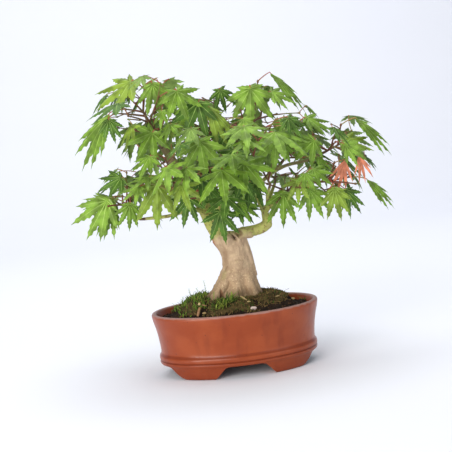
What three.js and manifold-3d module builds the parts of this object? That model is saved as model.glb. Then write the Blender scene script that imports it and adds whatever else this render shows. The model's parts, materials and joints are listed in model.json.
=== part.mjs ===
// A small potted maple, trained as a miniature tree, in an oval red-brown pot on four feet.
// Millimetres, +Z up, +X to the viewer's right and +Y away from the viewer.
// Everything is worked out around the middle of the pot, on the surface that it stands on.
// The group is then moved so that the origin is the middle of the bounding box's base.
import * as THREE from "three";
import { mergeVertices } from "three/addons/utils/BufferGeometryUtils.js";
import Module from "manifold-3d";

const wasm = await Module();
wasm.setup();

// Pot
const POT_HALF_LENGTH = 75;
const POT_HALF_DEPTH = 55.5;
const POT_HEIGHT = 56;
const POT_SECTORS = 36;
const WALL = 4.6;
const WALL_TAPER = 5.4;
const SKIRT_INSET = 3.6;
const FLOOR_TOP = 18;
const FLOOR_FILLET = 4;
const LEDGE_HEIGHT = 19.5;
const FOOT_HEIGHT = 11;
const FOOT_INSET = 5;
const FOOT_DEPTH = 13;
const FRONT_GAP = 19;
const END_GAP = 24;
const GAP_FLARE = 8;
const DRAIN_RADIUS = 5;
const DRAIN_SPACING = 26;
const DRAIN_SIDES = 16;

// Clear space kept between two pieces that touch on the real plant
const GAP = 0.3;

// Soil and moss
const SOIL_EDGE = 50;
const GROUND = 63;
const PLATEAU = { x: 1, y: 0, halfLength: 32, halfDepth: 26 };
const SLOPE_RINGS = 4;
const MOSS_RISE = 3.4;
const MOSS_STEP = 12.5;
const MOSS_PADS = {
  moss_left: { from: 140, to: 229, reach: 0.55, rise: 0.85 },
  moss_front: { from: 232, to: 288, reach: 0.6, rise: 0.5 },
  moss_right: { from: 291, to: 398, reach: 0.4, rise: 0.45 },
  moss_back: { from: 401, to: 497, reach: 0.4, rise: 0.4 },
};

// Trunk: height, middle, half width and half depth of each section, and how far the root ridges stand out
const TRUNK_SIDES = 25;
const ROOT_RIDGES = 5;
const ROOT_RIDGE_ANGLE = 192;
const TRUNK_SECTIONS = [
  { z: GROUND + GAP, x: 0, halfWidth: 26, halfDepth: 20.5, ridge: 0.09 },
  { z: 67, x: 0.6, halfWidth: 23.2, halfDepth: 18.5, ridge: 0.1 },
  { z: 72, x: 3.2, halfWidth: 19.4, halfDepth: 16.5, ridge: 0.09 },
  { z: 79, x: 5.6, halfWidth: 16, halfDepth: 14.5, ridge: 0.06 },
  { z: 87, x: 6.4, halfWidth: 14.3, halfDepth: 13, ridge: 0.03 },
  { z: 96, x: 6.4, halfWidth: 12.6, halfDepth: 12, ridge: 0.02 },
  { z: 105, x: 4.3, halfWidth: 12.6, halfDepth: 11.6, ridge: 0 },
  { z: 112, x: 1.7, halfWidth: 13.6, halfDepth: 11.2, ridge: 0 },
  { z: 118, x: -0.8, halfWidth: 14.4, halfDepth: 10.4, ridge: 0 },
  { z: 121.5, x: -1.2, halfWidth: 12.6, halfDepth: 8.6, ridge: 0 },
];

// Boughs: each tapers evenly along a smooth curve through its points, from its parent to the mass it bears
const BOUGHS = {
  bough_leader: {
    parent: "trunk",
    points: [[-3, 1, 108], [-9.6, 1, 123], [-21.8, 0, 151.4], [-37.6, -2, 181], [-49, -4, 203]],
    width: [15.6, 6.8],
  },
  bough_right_low: {
    parent: "trunk",
    points: [[7, -1, 118.5], [16, -3, 120.6], [26, -4, 121.5], [34, -4.5, 124.5], [36.8, -5, 130.5]],
    width: [11, 9],
  },
  bough_right_high: {
    parent: "bough_right_low",
    points: [[36.8, -5, 129], [34.8, -5, 136.5], [39.5, -5.5, 142.3], [52, -8, 150.5]],
    width: [7.6, 4.6],
  },
  bough_back: {
    parent: "trunk",
    points: [[-3, 5, 114], [-9, 16, 125], [-13, 30, 139], [-8, 43, 148]],
    width: [7.5, 3.8],
  },
  bough_centre: {
    parent: "bough_leader",
    points: [[-17, 1, 144], [-9, 3, 163], [1.5, 4, 182], [2.5, 3, 199]],
    width: [6, 3.6],
  },
  bough_left_low: {
    parent: "bough_leader",
    points: [[-16.5, -1, 141], [-30, -7, 146], [-50, -8, 142.5], [-72, -6, 142]],
    width: [4.6, 2.8],
  },
  bough_front: {
    parent: "bough_leader",
    points: [[-13, 0, 134], [-9, -13, 142], [-5, -24, 149]],
    width: [4.6, 3],
  },
  bough_front_left: {
    parent: "bough_leader",
    points: [[-28, -2, 164], [-36, -16, 168], [-42, -28, 170]],
    width: [4.4, 2.8],
  },
  bough_back_left: {
    parent: "bough_leader",
    points: [[-27, 0, 162], [-36, 16, 168], [-44, 31, 174]],
    width: [5, 3],
  },
  bough_back_top: {
    parent: "bough_back",
    points: [[-12, 26, 135], [-16, 30, 156], [-12, 33, 180]],
    width: [4.4, 3],
  },
  bough_top: {
    parent: "bough_centre",
    points: [[0, 4, 179], [12, 4, 195], [22, 3, 208]],
    width: [4, 3],
  },
  bough_right_upper: {
    parent: "bough_right_high",
    points: [[35, -5, 135], [31, 1, 150], [36, 3, 163], [49, 1, 173], [54, 0, 178]],
    width: [4.6, 3],
  },
  bough_far_right: {
    parent: "bough_right_upper",
    points: [[46, 2, 171.5], [62, 5, 176], [78, 4, 178], [92, 1, 183]],
    width: [3.6, 2.6],
  },
  bough_far_right_low: {
    parent: "bough_right_high",
    points: [[44, -6, 145.5], [60, -1, 153], [78, 0, 157]],
    width: [3.8, 2.6],
  },
  bough_back_right: {
    parent: "bough_right_high",
    points: [[37, -5, 139.5], [43, 10, 149], [50, 26, 158]],
    width: [4.4, 3],
  },
  bough_front_right: {
    parent: "bough_right_high",
    points: [[38, -5, 141], [37, -17, 152], [38, -28, 160]],
    width: [3.6, 2.6],
  },
};

// Masses of leaves: the middle and half sizes of the region that its twigs end in, and its pairs of leaves
const MASSES = {
  foliage_upper_left: {
    bough: "bough_leader",
    centre: [-64, -8, 236],
    spread: [28, 26, 20],
    nodes: 6,
    seed: 28,
  },
  foliage_left_low: {
    bough: "bough_left_low",
    centre: [-92, -10, 158],
    spread: [24, 22, 15],
    nodes: 5,
    seed: 31,
  },
  foliage_far_right: {
    bough: "bough_far_right",
    centre: [108, -4, 190],
    spread: [18, 20, 13],
    nodes: 4,
    seed: 23,
  },
  foliage_far_right_low: {
    bough: "bough_far_right_low",
    centre: [94, -12, 158],
    spread: [22, 20, 14],
    nodes: 4,
    seed: 32,
  },
  foliage_top: {
    bough: "bough_top",
    centre: [40, -4, 222],
    spread: [26, 24, 15],
    nodes: 5,
    seed: 8,
  },
  foliage_right_low: {
    bough: "bough_right_high",
    centre: [58, -22, 157],
    spread: [24, 20, 13],
    nodes: 5,
    seed: 13,
  },
  foliage_right: {
    bough: "bough_right_upper",
    centre: [68, -10, 194],
    spread: [24, 24, 16],
    nodes: 5,
    seed: 4,
  },
  foliage_centre: {
    bough: "bough_centre",
    centre: [-10, -12, 218],
    spread: [26, 24, 17],
    nodes: 5,
    seed: 14,
  },
  foliage_mid_left: {
    bough: "bough_front_left",
    centre: [-48, -38, 178],
    spread: [22, 18, 20],
    nodes: 5,
    seed: 14,
  },
  foliage_front: {
    bough: "bough_front",
    centre: [-12, -42, 166],
    spread: [26, 18, 20],
    nodes: 5,
    seed: 28,
  },
  foliage_front_right: {
    bough: "bough_front_right",
    centre: [24, -44, 190],
    spread: [22, 18, 18],
    nodes: 4,
    seed: 24,
  },
  foliage_back_left: {
    bough: "bough_back_left",
    centre: [-54, 48, 190],
    spread: [28, 24, 24],
    nodes: 4,
    seed: 22,
  },
  foliage_back: {
    bough: "bough_back",
    centre: [-4, 68, 166],
    spread: [28, 22, 17],
    nodes: 4,
    seed: 23,
  },
  foliage_back_top: {
    bough: "bough_back_top",
    centre: [-6, 50, 212],
    spread: [28, 26, 18],
    nodes: 4,
    seed: 7,
  },
  foliage_back_right: {
    bough: "bough_back_right",
    centre: [58, 50, 182],
    spread: [30, 24, 24],
    nodes: 4,
    seed: 6,
  },
};

// Leaves, petioles and twigs
const LOBES = [
  { angle: 0, length: 0.94, shoulder: 0.155 },
  { angle: 40, length: 0.86, shoulder: 0.16 },
  { angle: 82, length: 0.64, shoulder: 0 },
  { angle: 128, length: 0.34, shoulder: 0 },
];
const HUB = 0.08;
const SINUS_DEPTH = 0.38;
const SHOULDER_PLACE = 0.54;
const LOBE_FOLD = 0.06;
const LEAF_DROOP = [0.156, 0.364];
const LEAF_LENGTH = [30, 43];
const LEAF_THICKNESS = 1.5;
const PETIOLE_LENGTH = [12, 24];
const PETIOLE_RADIUS = 0.6;
const PETIOLE_SLANT = [0.65, 1.25];
const FOLDED_BACK = -0.3;
const PETIOLE_SINK = 0.6;
const PETIOLE_LIFT = 0.15;
const LEAF_SWING = 1.6;
const LEAF_HANG = [0.35, 1.05];
const LEAF_SPLAY = 0.5;
const LEAF_TILT = 0.7;
const LEAF_SPAN = 1.08;
const TWIG_RADIUS = 0.85;
const TWIG_REACH = [0.8, 1.1];
const TWIG_TURN = 1.2;
const TWIG_LEAD = 0.7;
const TWIG_PLACES = [0.12, 0.97];
const STEM_RADIUS = 1.2;
const STEM_BEND = 4;
const CLEARANCE = 0.75;
const REACH = [40, 38, 34];
const CROWN = { x: 8, y: 0, z: 158 };

// Growth makes a number of tries at each leaf and twig: later leaves swing wider and are smaller
const TRIES = 12;
const SWING_PER_TRY = 0.25;
const SHRINK_PER_TRY = 0.02;
const SEED_STEPS = { mass: 10000, node: 1000, attempt: 200, leaves: 100, side: 50 };

// Young leaves: small, folded and hanging, at the far right of the crown
const YOUNG_DROOP = 0.26;
const YOUNG_LEAVES = [
  {
    mass: "foliage_far_right_low",
    at: [109, -14, 176],
    from: [-9, 3, -2],
    along: [-0.25, -0.1, -1],
    length: 24,
  },
  {
    mass: "foliage_far_right_low",
    at: [122, -12, 178],
    from: [-9, 3, 1],
    along: [0.3, -0.1, -1],
    length: 20,
  },
];

const LIMB_SIDES = 7;
const LIMB_STEP = 9;
const LIMB_STEPS = 4;
const TWIG_SIDES = 3;
const RADIANS = Math.PI / 180;
const UP = new THREE.Vector3(0, 0, 1);
const at = ([x, y, z]) => new THREE.Vector3(x, y, z);
const between = ([least, most], share) => least + (most - least) * share;

const surface = (color, roughness) => new THREE.MeshStandardMaterial({ color, roughness, metalness: 0 });
const LOOKS = {
  pot: surface(0x9a4a2c, 0.35),
  soil: surface(0x2c2119, 0.95),
  moss: surface(0x4f6327, 0.9),
  bark: surface(0xa08a6c, 0.85),
  bough: surface(0x8f8a4a, 0.7),
  leaf: surface(0x6f9a34, 0.55),
};

// Numbers from 0 to 1 that a seed settles, the same on every machine
function drawing(seed) {
  let state = seed >>> 0;
  return () => {
    state = (state + 0x6d2b79f5) >>> 0;
    let t = Math.imul(state ^ (state >>> 15), state | 1);
    t = (t + Math.imul(t ^ (t >>> 7), t | 61)) ^ t;
    return ((t ^ (t >>> 14)) >>> 0) / 4294967296;
  };
}

function toSolid(geometry) {
  const bare = new THREE.BufferGeometry().setAttribute("position", geometry.getAttribute("position"));
  bare.setIndex(geometry.index);
  const merged = mergeVertices(bare, 1e-4);
  const mesh = new wasm.Mesh({
    numProp: 3,
    vertProperties: merged.attributes.position.array,
    triVerts: new Uint32Array(merged.index.array),
  });
  mesh.merge();
  const solid = new wasm.Manifold(mesh);
  if (solid.volume() < 0) throw new Error("a solid is inside out");
  return solid;
}

function toGeometry(solid) {
  const mesh = solid.getMesh();
  const geometry = new THREE.BufferGeometry();
  geometry.setAttribute("position", new THREE.BufferAttribute(new Float32Array(mesh.vertProperties), 3));
  geometry.setIndex(new THREE.BufferAttribute(new Uint32Array(mesh.triVerts), 1));
  return geometry;
}

// The largest body of a solid, without the scraps that a cut leaves
const mainBody = (solid) => solid.decompose().reduce((a, b) => (a.volume() > b.volume() ? a : b));

// A closed skin over rings of points, each running counterclockwise as seen from the last ring
function loft(rings) {
  const sides = rings[0].length;
  const points = rings.flat();
  const faces = [];
  for (let k = 0; k + 1 < rings.length; k++)
    for (let i = 0; i < sides; i++) {
      const a = k * sides + i;
      const b = k * sides + ((i + 1) % sides);
      faces.push(a, b, b + sides, a, b + sides, a + sides);
    }
  const top = (rings.length - 1) * sides;
  for (let i = 1; i + 1 < sides; i++) faces.push(0, i + 1, i, top, top + i, top + i + 1);
  return new THREE.BufferGeometry().setFromPoints(points).setIndex(faces);
}

// A stick with a radius at each of its points, its section carried along without a twist
function stick(points, radii, sides) {
  let side = null;
  const rings = points.map((p, k) => {
    const ahead = points[Math.min(k + 1, points.length - 1)];
    const along = ahead.clone().sub(points[Math.max(k - 1, 0)]).normalize();
    if (!side) side = Math.abs(along.z) < 0.9 ? UP.clone() : new THREE.Vector3(1, 0, 0);
    side.addScaledVector(along, -side.dot(along)).normalize();
    const across = along.clone().cross(side);
    return Array.from({ length: sides }, (_, i) => {
      const turn = (2 * Math.PI * i) / sides;
      const spoke = side.clone().multiplyScalar(Math.cos(turn)).addScaledVector(across, Math.sin(turn));
      return p.clone().addScaledVector(spoke, radii[k]);
    });
  });
  return toSolid(loft(rings));
}

// Pot

// A point of the oval that lies a given inset inside the rim's outline
function oval(inset, angle, z) {
  return new THREE.Vector3(
    (POT_HALF_LENGTH - inset) * Math.cos(angle),
    (POT_HALF_DEPTH - inset) * Math.sin(angle),
    z,
  );
}

// The inside of the wall, as an inset from the rim's outline at a height
function innerInset(z) {
  return WALL + (WALL_TAPER * (POT_HEIGHT - z)) / (POT_HEIGHT - LEDGE_HEIGHT);
}

function potProfile() {
  const ledge = LEDGE_HEIGHT;
  const foot = FOOT_HEIGHT;
  return [
    { inset: FOOT_INSET + FOOT_DEPTH + 2, z: foot },
    { inset: FOOT_INSET + FOOT_DEPTH, z: 0 },
    { inset: FOOT_INSET + 3, z: 0 },
    { inset: FOOT_INSET + 1.2, z: 2 },
    { inset: FOOT_INSET, z: foot - 0.6 },
    { inset: SKIRT_INSET + 0.8, z: foot + 0.3 },
    { inset: SKIRT_INSET + 0.1, z: foot + 2.4 },
    { inset: SKIRT_INSET + 0.8, z: foot + 3.4 },
    { inset: SKIRT_INSET, z: foot + 4.4 },
    { inset: SKIRT_INSET + 0.2, z: ledge - 1 },
    { inset: SKIRT_INSET + 0.9, z: ledge },
    { inset: WALL_TAPER - 0.2, z: ledge + 1.6 },
    { inset: WALL_TAPER, z: ledge + 4 },
    { inset: 0.7, z: POT_HEIGHT - 6 },
    { inset: 0.1, z: POT_HEIGHT - 3 },
    { inset: 0.2, z: POT_HEIGHT - 1 },
    { inset: 1.2, z: POT_HEIGHT },
    { inset: WALL - 1.2, z: POT_HEIGHT },
    { inset: innerInset(POT_HEIGHT - 1.4), z: POT_HEIGHT - 1.4 },
    { inset: innerInset(FLOOR_TOP + FLOOR_FILLET), z: FLOOR_TOP + FLOOR_FILLET },
    { inset: innerInset(FLOOR_TOP) + FLOOR_FILLET, z: FLOOR_TOP },
  ];
}

const ovalRing = ({ inset, z }) =>
  Array.from({ length: POT_SECTORS }, (_, i) => oval(inset, (2 * Math.PI * i) / POT_SECTORS, z));

// The space between two feet, wider at the ground, pushed through the foot ring from the middle outwards
function footSpace(halfWidth, reach, turned) {
  const outline = [
    [-halfWidth - GAP_FLARE, -1],
    [halfWidth + GAP_FLARE, -1],
    [halfWidth + GAP_FLARE - 1, 1],
    [halfWidth, FOOT_HEIGHT - 2.2],
    [halfWidth - 5, FOOT_HEIGHT],
    [-halfWidth + 5, FOOT_HEIGHT],
    [-halfWidth, FOOT_HEIGHT - 2.2],
    [-halfWidth - GAP_FLARE + 1, 1],
  ];
  const shape = new THREE.Shape(outline.map(([x, y]) => new THREE.Vector2(x, y)));
  const space = new THREE.ExtrudeGeometry(shape, { depth: reach, bevelEnabled: false });
  return toSolid(space.rotateX(Math.PI / 2).rotateZ(turned));
}

function buildPot() {
  let pot = toSolid(loft(potProfile().map(ovalRing)));
  for (const turned of [0, Math.PI]) pot = pot.subtract(footSpace(FRONT_GAP, POT_HALF_DEPTH + 5, turned));
  for (const turned of [Math.PI / 2, -Math.PI / 2])
    pot = pot.subtract(footSpace(END_GAP, POT_HALF_LENGTH + 5, turned));
  for (const side of [-1, 1]) {
    const drain = new THREE.CylinderGeometry(DRAIN_RADIUS, DRAIN_RADIUS, FLOOR_TOP, DRAIN_SIDES);
    drain.rotateX(Math.PI / 2).translate(side * DRAIN_SPACING, 0, FLOOR_TOP - 2);
    pot = pot.subtract(toSolid(drain));
  }
  return pot;
}

// Soil

const plateauPoint = (angle) =>
  new THREE.Vector3(
    PLATEAU.x + PLATEAU.halfLength * Math.cos(angle),
    PLATEAU.y + PLATEAU.halfDepth * Math.sin(angle),
    GROUND,
  );

// The soil's surface between the plateau round the trunk (share 0) and the wall of the pot (share 1)
function slopePoint(angle, share) {
  const edge = oval(innerInset(SOIL_EDGE) + GAP, angle, SOIL_EDGE);
  const p = plateauPoint(angle).lerp(edge, share);
  const fall = share * share * (3 - 2 * share);
  const uneven = 0.9 * Math.sin(Math.PI * share) * Math.sin(5 * angle + 7 * share);
  p.z = GROUND + (SOIL_EDGE - GROUND) * fall + uneven;
  return p;
}

function buildSoil() {
  const wall = [
    { inset: innerInset(FLOOR_TOP) + FLOOR_FILLET + GAP, z: FLOOR_TOP + GAP },
    { inset: innerInset(FLOOR_TOP + FLOOR_FILLET) + GAP, z: FLOOR_TOP + FLOOR_FILLET + GAP },
  ].map(ovalRing);
  for (let k = SLOPE_RINGS; k >= 0; k--)
    wall.push(
      Array.from({ length: POT_SECTORS }, (_, i) =>
        slopePoint((2 * Math.PI * i) / POT_SECTORS, k / SLOPE_RINGS),
      ),
    );
  return toSolid(loft(wall));
}

// Trunk

function trunkPoint(section, angle, grown) {
  const ridge = 1 + section.ridge * Math.cos(ROOT_RIDGES * (angle - ROOT_RIDGE_ANGLE * RADIANS));
  return new THREE.Vector3(
    section.x + (section.halfWidth * ridge + grown) * Math.cos(angle),
    (section.halfDepth * ridge + grown) * Math.sin(angle),
    section.z,
  );
}

function buildTrunk(grown = 0) {
  const angles = Array.from({ length: TRUNK_SIDES }, (_, i) => (2 * Math.PI * i) / TRUNK_SIDES);
  const rings = TRUNK_SECTIONS.map((section) => angles.map((angle) => trunkPoint(section, angle, grown)));
  rings.at(-1).forEach((p) => (p.z += grown));
  return toSolid(loft(rings));
}

// A pad of moss on the soil round the trunk's foot, thinning towards its own edges
function buildMoss({ from, to, reach, rise }, raisedSoil) {
  const turns = Math.round((to - from) / MOSS_STEP);
  const steps = 3;
  const foot = TRUNK_SECTIONS[0];
  const place = (i, j) => {
    const angle = (from + ((to - from) * i) / turns) * RADIANS;
    const share = j / steps;
    const inner = trunkPoint(foot, angle, 2 * GAP);
    const ragged = reach * (1 + 0.12 * Math.sin(9 * angle));
    const p = inner.clone().lerp(slopePoint(angle, ragged), share);
    const fullness = 0.55 + 0.45 * Math.sin((Math.PI * i) / turns);
    const plump = Math.sin(Math.PI * (0.2 + 0.65 * share)) * fullness;
    const nearest = slopePoint(angle, Math.max(0, ragged * (share - 0.35) * 1.5));
    p.z = Math.min(GROUND, nearest.z) + GAP + 0.9 + MOSS_RISE * rise * plump;
    return p;
  };
  const rings = [];
  for (let i = 0; i <= turns; i++) {
    const above = Array.from({ length: steps + 1 }, (_, j) => place(i, j));
    const below = above.map((p) => new THREE.Vector3(p.x, p.y, SOIL_EDGE - 8)).reverse();
    rings.push([...above, ...below]);
  }
  return mainBody(toSolid(loft(rings)).subtract(raisedSoil));
}

// Boughs

function boughPath({ points, width }) {
  const curve = new THREE.CatmullRomCurve3(points.map(at), false, "centripetal");
  const steps = Math.max(LIMB_STEPS, Math.round(curve.getLength() / LIMB_STEP));
  return Array.from({ length: steps + 1 }, (_, k) => ({
    p: curve.getPoint(k / steps),
    radius: between(width, k / steps) / 2,
  }));
}

function boughSolid(path, grown = 0) {
  return stick(
    path.map(({ p }) => p),
    path.map(({ radius }) => radius + grown),
    LIMB_SIDES,
  );
}

// Leaves

// A leaf's outline as angle and distance from its hub, and fold, for a blade of length 1
function leafOutline() {
  const half = [];
  LOBES.forEach((lobe, k) => {
    const aside = Math.atan2(lobe.shoulder, lobe.length * SHOULDER_PLACE);
    const place = Math.hypot(lobe.shoulder, lobe.length * SHOULDER_PLACE);
    if (k > 0 && lobe.shoulder)
      half.push({ angle: lobe.angle * RADIANS - aside, distance: place, fold: LOBE_FOLD });
    half.push({ angle: lobe.angle * RADIANS, distance: lobe.length, fold: 0 });
    if (lobe.shoulder) half.push({ angle: lobe.angle * RADIANS + aside, distance: place, fold: LOBE_FOLD });
    const next = LOBES[k + 1];
    if (next)
      half.push({
        angle: ((lobe.angle + next.angle) / 2) * RADIANS,
        distance: SINUS_DEPTH * next.length ** 0.5,
        fold: LOBE_FOLD / 2,
      });
  });
  const other = half.slice(1).reverse().map((corner) => ({ ...corner, angle: -corner.angle }));
  return [...half, { angle: Math.PI, distance: HUB, fold: 0 }, ...other];
}

const OUTLINE = leafOutline();
const FLAT = OUTLINE.map(({ angle, distance }) => [distance * Math.sin(angle), distance * Math.cos(angle)]);

// How far each corner of the outline moves when the outline grows by 1
const GROWTH = FLAT.map(([x, y], i) => {
  const [px, py] = FLAT[(i + FLAT.length - 1) % FLAT.length];
  const [nx, ny] = FLAT[(i + 1) % FLAT.length];
  const before = Math.hypot(x - px, y - py);
  const after = Math.hypot(nx - x, ny - y);
  const gx = -(y - py) / before - (ny - y) / after;
  const gy = (x - px) / before + (nx - x) / after;
  const size = Math.hypot(gx, gy);
  const stretch = Math.min(2 / Math.max(size, 1e-9), 2);
  return [(gx / size) * stretch, (gy / size) * stretch];
});

// The corners of a leaf's outline in space, grown sideways and lifted along its normal
function leafCorners(leaf, grown = 0, lift = 0) {
  return FLAT.map(([x, y], i) => {
    const across = x * leaf.length + GROWTH[i][0] * grown;
    const along = y * leaf.length + GROWTH[i][1] * grown;
    const far = Math.hypot(x, y);
    const sag = -(leaf.droop * far * far + OUTLINE[i].fold) * leaf.length;
    return leaf.hub
      .clone()
      .addScaledVector(leaf.across, across)
      .addScaledVector(leaf.along, along)
      .addScaledVector(leaf.normal, sag + lift);
  });
}

// A leaf's blade: two fans from its hub to one outline, thickest at the hub
function bladeGeometry(leaf) {
  const corners = leafCorners(leaf);
  const half = leaf.normal.clone().multiplyScalar(LEAF_THICKNESS / 2);
  const points = [leaf.hub.clone().add(half), leaf.hub.clone().sub(half), ...corners];
  const faces = corners.flatMap((_, i) => {
    const a = 2 + i;
    const b = 2 + ((i + 1) % corners.length);
    return [0, b, a, 1, a, b];
  });
  return new THREE.BufferGeometry().setFromPoints(points).setIndex(faces);
}

// The space that a leaf keeps for itself, as triangles: its blade grown by a margin on every side
function leafShell(leaf, margin) {
  const above = leafCorners(leaf, margin, margin);
  const below = leafCorners(leaf, margin, -margin);
  const high = leaf.hub.clone().addScaledVector(leaf.normal, margin + LEAF_THICKNESS / 2);
  const low = leaf.hub.clone().addScaledVector(leaf.normal, -margin - LEAF_THICKNESS / 2);
  return above.flatMap((a, i) => {
    const j = (i + 1) % above.length;
    return [
      [high, above[j], a],
      [low, below[i], below[j]],
      [a, above[j], below[j]],
      [a, below[j], below[i]],
    ];
  });
}

// The lines of a leaf's blade: from its hub to each corner, and from each corner to the next
function leafLines(leaf) {
  const corners = leafCorners(leaf);
  return corners.flatMap((corner, i) => [
    [leaf.hub, corner],
    [corner, corners[(i + 1) % corners.length]],
  ]);
}

function lineMeetsTriangle([from, to], [a, b, c]) {
  const along = to.clone().sub(from);
  const ab = b.clone().sub(a);
  const ac = c.clone().sub(a);
  const cross = along.clone().cross(ac);
  const scale = ab.dot(cross);
  if (Math.abs(scale) < 1e-9) return false;
  const offset = from.clone().sub(a);
  const u = offset.dot(cross) / scale;
  if (u < 0 || u > 1) return false;
  const turned = offset.cross(ab);
  const v = along.dot(turned) / scale;
  if (v < 0 || u + v > 1) return false;
  const t = ac.dot(turned) / scale;
  return t >= 0 && t <= 1;
}

// The least distance between two line segments
function apart([a, b], [c, d]) {
  const u = b.clone().sub(a);
  const v = d.clone().sub(c);
  const w = a.clone().sub(c);
  const uu = Math.max(u.dot(u), 1e-12);
  const vv = Math.max(v.dot(v), 1e-12);
  const uv = u.dot(v);
  const uw = u.dot(w);
  const vw = v.dot(w);
  const scale = uu * vv - uv * uv;
  const clamp = (value) => Math.min(Math.max(value, 0), 1);
  let s = scale > 1e-9 ? clamp((uv * vw - vv * uw) / scale) : 0;
  const t = clamp((uv * s + vw) / vv);
  s = clamp((uv * t - uw) / uu);
  return w.addScaledVector(u, s).addScaledVector(v, -t).length();
}

const nearEnough = (leaf, point, reach) => leaf.base.distanceTo(point) < leaf.length * LEAF_SPAN + reach;

function lineMeetsLeaf(line, leaf, margin) {
  const middle = line[0].clone().lerp(line[1], 0.5);
  if (!nearEnough(leaf, middle, margin * 2 + line[0].distanceTo(line[1]) / 2)) return false;
  return leafShell(leaf, margin).some((triangle) => lineMeetsTriangle(line, triangle));
}

function leavesMeet(one, other) {
  if (!nearEnough(one, other.base, other.length * LEAF_SPAN)) return false;
  const shell = leafShell(one, CLEARANCE);
  return leafLines(other).some((line) => shell.some((triangle) => lineMeetsTriangle(line, triangle)));
}

// Growth: each mass has a stem that goes on from its bough, twigs that leave the stem at a slant,
// and a pair of leaves at the end of each twig

// A stick is a line with a radius; the sticks of one mass share its name
const sticksMeet = (one, other) =>
  apart(one.line, other.line) < one.radius + other.radius + CLEARANCE;

function limbSticks(paths) {
  const sticks = [];
  for (const [name, path] of Object.entries(paths))
    for (let k = 0; k + 1 < path.length; k++)
      sticks.push({ owner: name, line: [path[k].p, path[k + 1].p], radius: path[k].radius });
  return sticks;
}

function stemOf({ bough, centre }, paths) {
  const path = paths[bough];
  const tip = path.at(-1).p;
  const along = tip.clone().sub(path.at(-2).p).normalize();
  return [
    tip.clone().addScaledVector(along, GAP),
    tip.clone().addScaledVector(along, STEM_BEND),
    at(centre),
  ];
}

// Where a twig leaves the stem: short of the point abreast of the twig's end
function rootOnStem(stem, end) {
  const axis = stem[2].clone().sub(stem[1]);
  const length = axis.length();
  axis.normalize();
  const offset = end.clone().sub(stem[1]);
  const abreast = offset.dot(axis);
  const aside = Math.sqrt(Math.max(offset.lengthSq() - abreast * abreast, 0));
  const [first, last] = TWIG_PLACES;
  const place = Math.min(Math.max(abreast - TWIG_LEAD * aside, first * length), last * length);
  return stem[1].clone().addScaledVector(axis, place);
}

const GOLDEN_TURN = Math.PI * (3 - Math.sqrt(5));

function twigEnd(mass, node, draw) {
  const height = 1 - (2 * (node + 0.5)) / mass.nodes;
  const turn = GOLDEN_TURN * node + mass.seed + TWIG_TURN * (draw() - 0.5);
  const flat = Math.sqrt(Math.max(1 - height * height, 0));
  const share = between(TWIG_REACH, draw());
  return new THREE.Vector3(
    mass.centre[0] + mass.spread[0] * share * flat * Math.cos(turn),
    mass.centre[1] + mass.spread[1] * share * flat * Math.sin(turn),
    mass.centre[2] + mass.spread[2] * share * height,
  );
}

// A leaf on its petiole, at one side of a twig's end
function leafAt(twig, side, draw, attempt) {
  const axis = twig.end.clone().sub(twig.root).normalize();
  const level = axis.clone().cross(UP).normalize();
  level.applyAxisAngle(axis, (draw() - 0.5) * (LEAF_SWING + SWING_PER_TRY * attempt));
  const slant = between(PETIOLE_SLANT, draw());
  const petiole = axis.clone().multiplyScalar(Math.cos(slant));
  petiole.addScaledVector(level, side * Math.sin(slant)).addScaledVector(UP, PETIOLE_LIFT).normalize();
  const base = twig.end.clone().addScaledVector(petiole, between(PETIOLE_LENGTH, draw()));
  const length = between(LEAF_LENGTH, draw()) * (1 - SHRINK_PER_TRY * attempt);
  const out = new THREE.Vector3(base.x - CROWN.x, (base.y - CROWN.y) * 1.3, base.z - CROWN.z).normalize();
  const hang = between(LEAF_HANG, draw());
  const along = new THREE.Vector3(out.x * 0.7, out.y * 0.7, -hang).addScaledVector(petiole, 0.4);
  along.x += LEAF_SPLAY * (draw() - 0.5);
  along.y += LEAF_SPLAY * (draw() - 0.5);
  along.normalize();
  const facing = new THREE.Vector3(out.x * 0.6, out.y * 0.9 - 0.2, 0.6 + 0.5 * out.z);
  facing.x += LEAF_TILT * (draw() - 0.5);
  facing.y += LEAF_TILT * (draw() - 0.5);
  return blade({ base, along, facing, length, droop: between(LEAF_DROOP, draw()), node: twig.end });
}

function blade({ base, along, facing, length, droop, node }) {
  const normal = facing.clone().addScaledVector(along, -facing.dot(along)).normalize();
  const across = along.clone().cross(normal);
  const hub = base.clone().addScaledVector(along, HUB * length);
  return { base, hub, along, normal, across, length, droop, node };
}

const petioleStick = (leaf, owner) => ({ owner, line: [leaf.node, leaf.base], radius: PETIOLE_RADIUS });

function inSpace(mass, leaf) {
  return leafCorners(leaf).every((corner) => {
    const far = ["x", "y", "z"].map(
      (axis, i) => (corner[axis] - mass.centre[i]) / (mass.spread[i] + REACH[i]),
    );
    return Math.hypot(...far) <= 1;
  });
}

function leafFits(leaf, name, mass, growth) {
  if (leaf.base.clone().sub(leaf.node).normalize().dot(leaf.along) < FOLDED_BACK) return false;
  if (!inSpace(mass, leaf)) return false;
  const petiole = petioleStick(leaf, name);
  const others = growth.sticks.filter(({ owner }) => owner !== name);
  if (others.some((other) => sticksMeet(petiole, other))) return false;
  const reach = CLEARANCE + PETIOLE_RADIUS;
  if (growth.leaves.some((other) => lineMeetsLeaf(petiole.line, other, reach))) return false;
  if (growth.leaves.some((other) => leavesMeet(leaf, other))) return false;
  return !growth.sticks.some(({ line, radius }) => lineMeetsLeaf(line, leaf, CLEARANCE + radius));
}

function twigFits(stick, growth) {
  if (growth.sticks.some((other) => other.owner !== stick.owner && sticksMeet(stick, other))) return false;
  return !growth.leaves.some((leaf) => lineMeetsLeaf(stick.line, leaf, CLEARANCE + TWIG_RADIUS));
}

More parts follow.
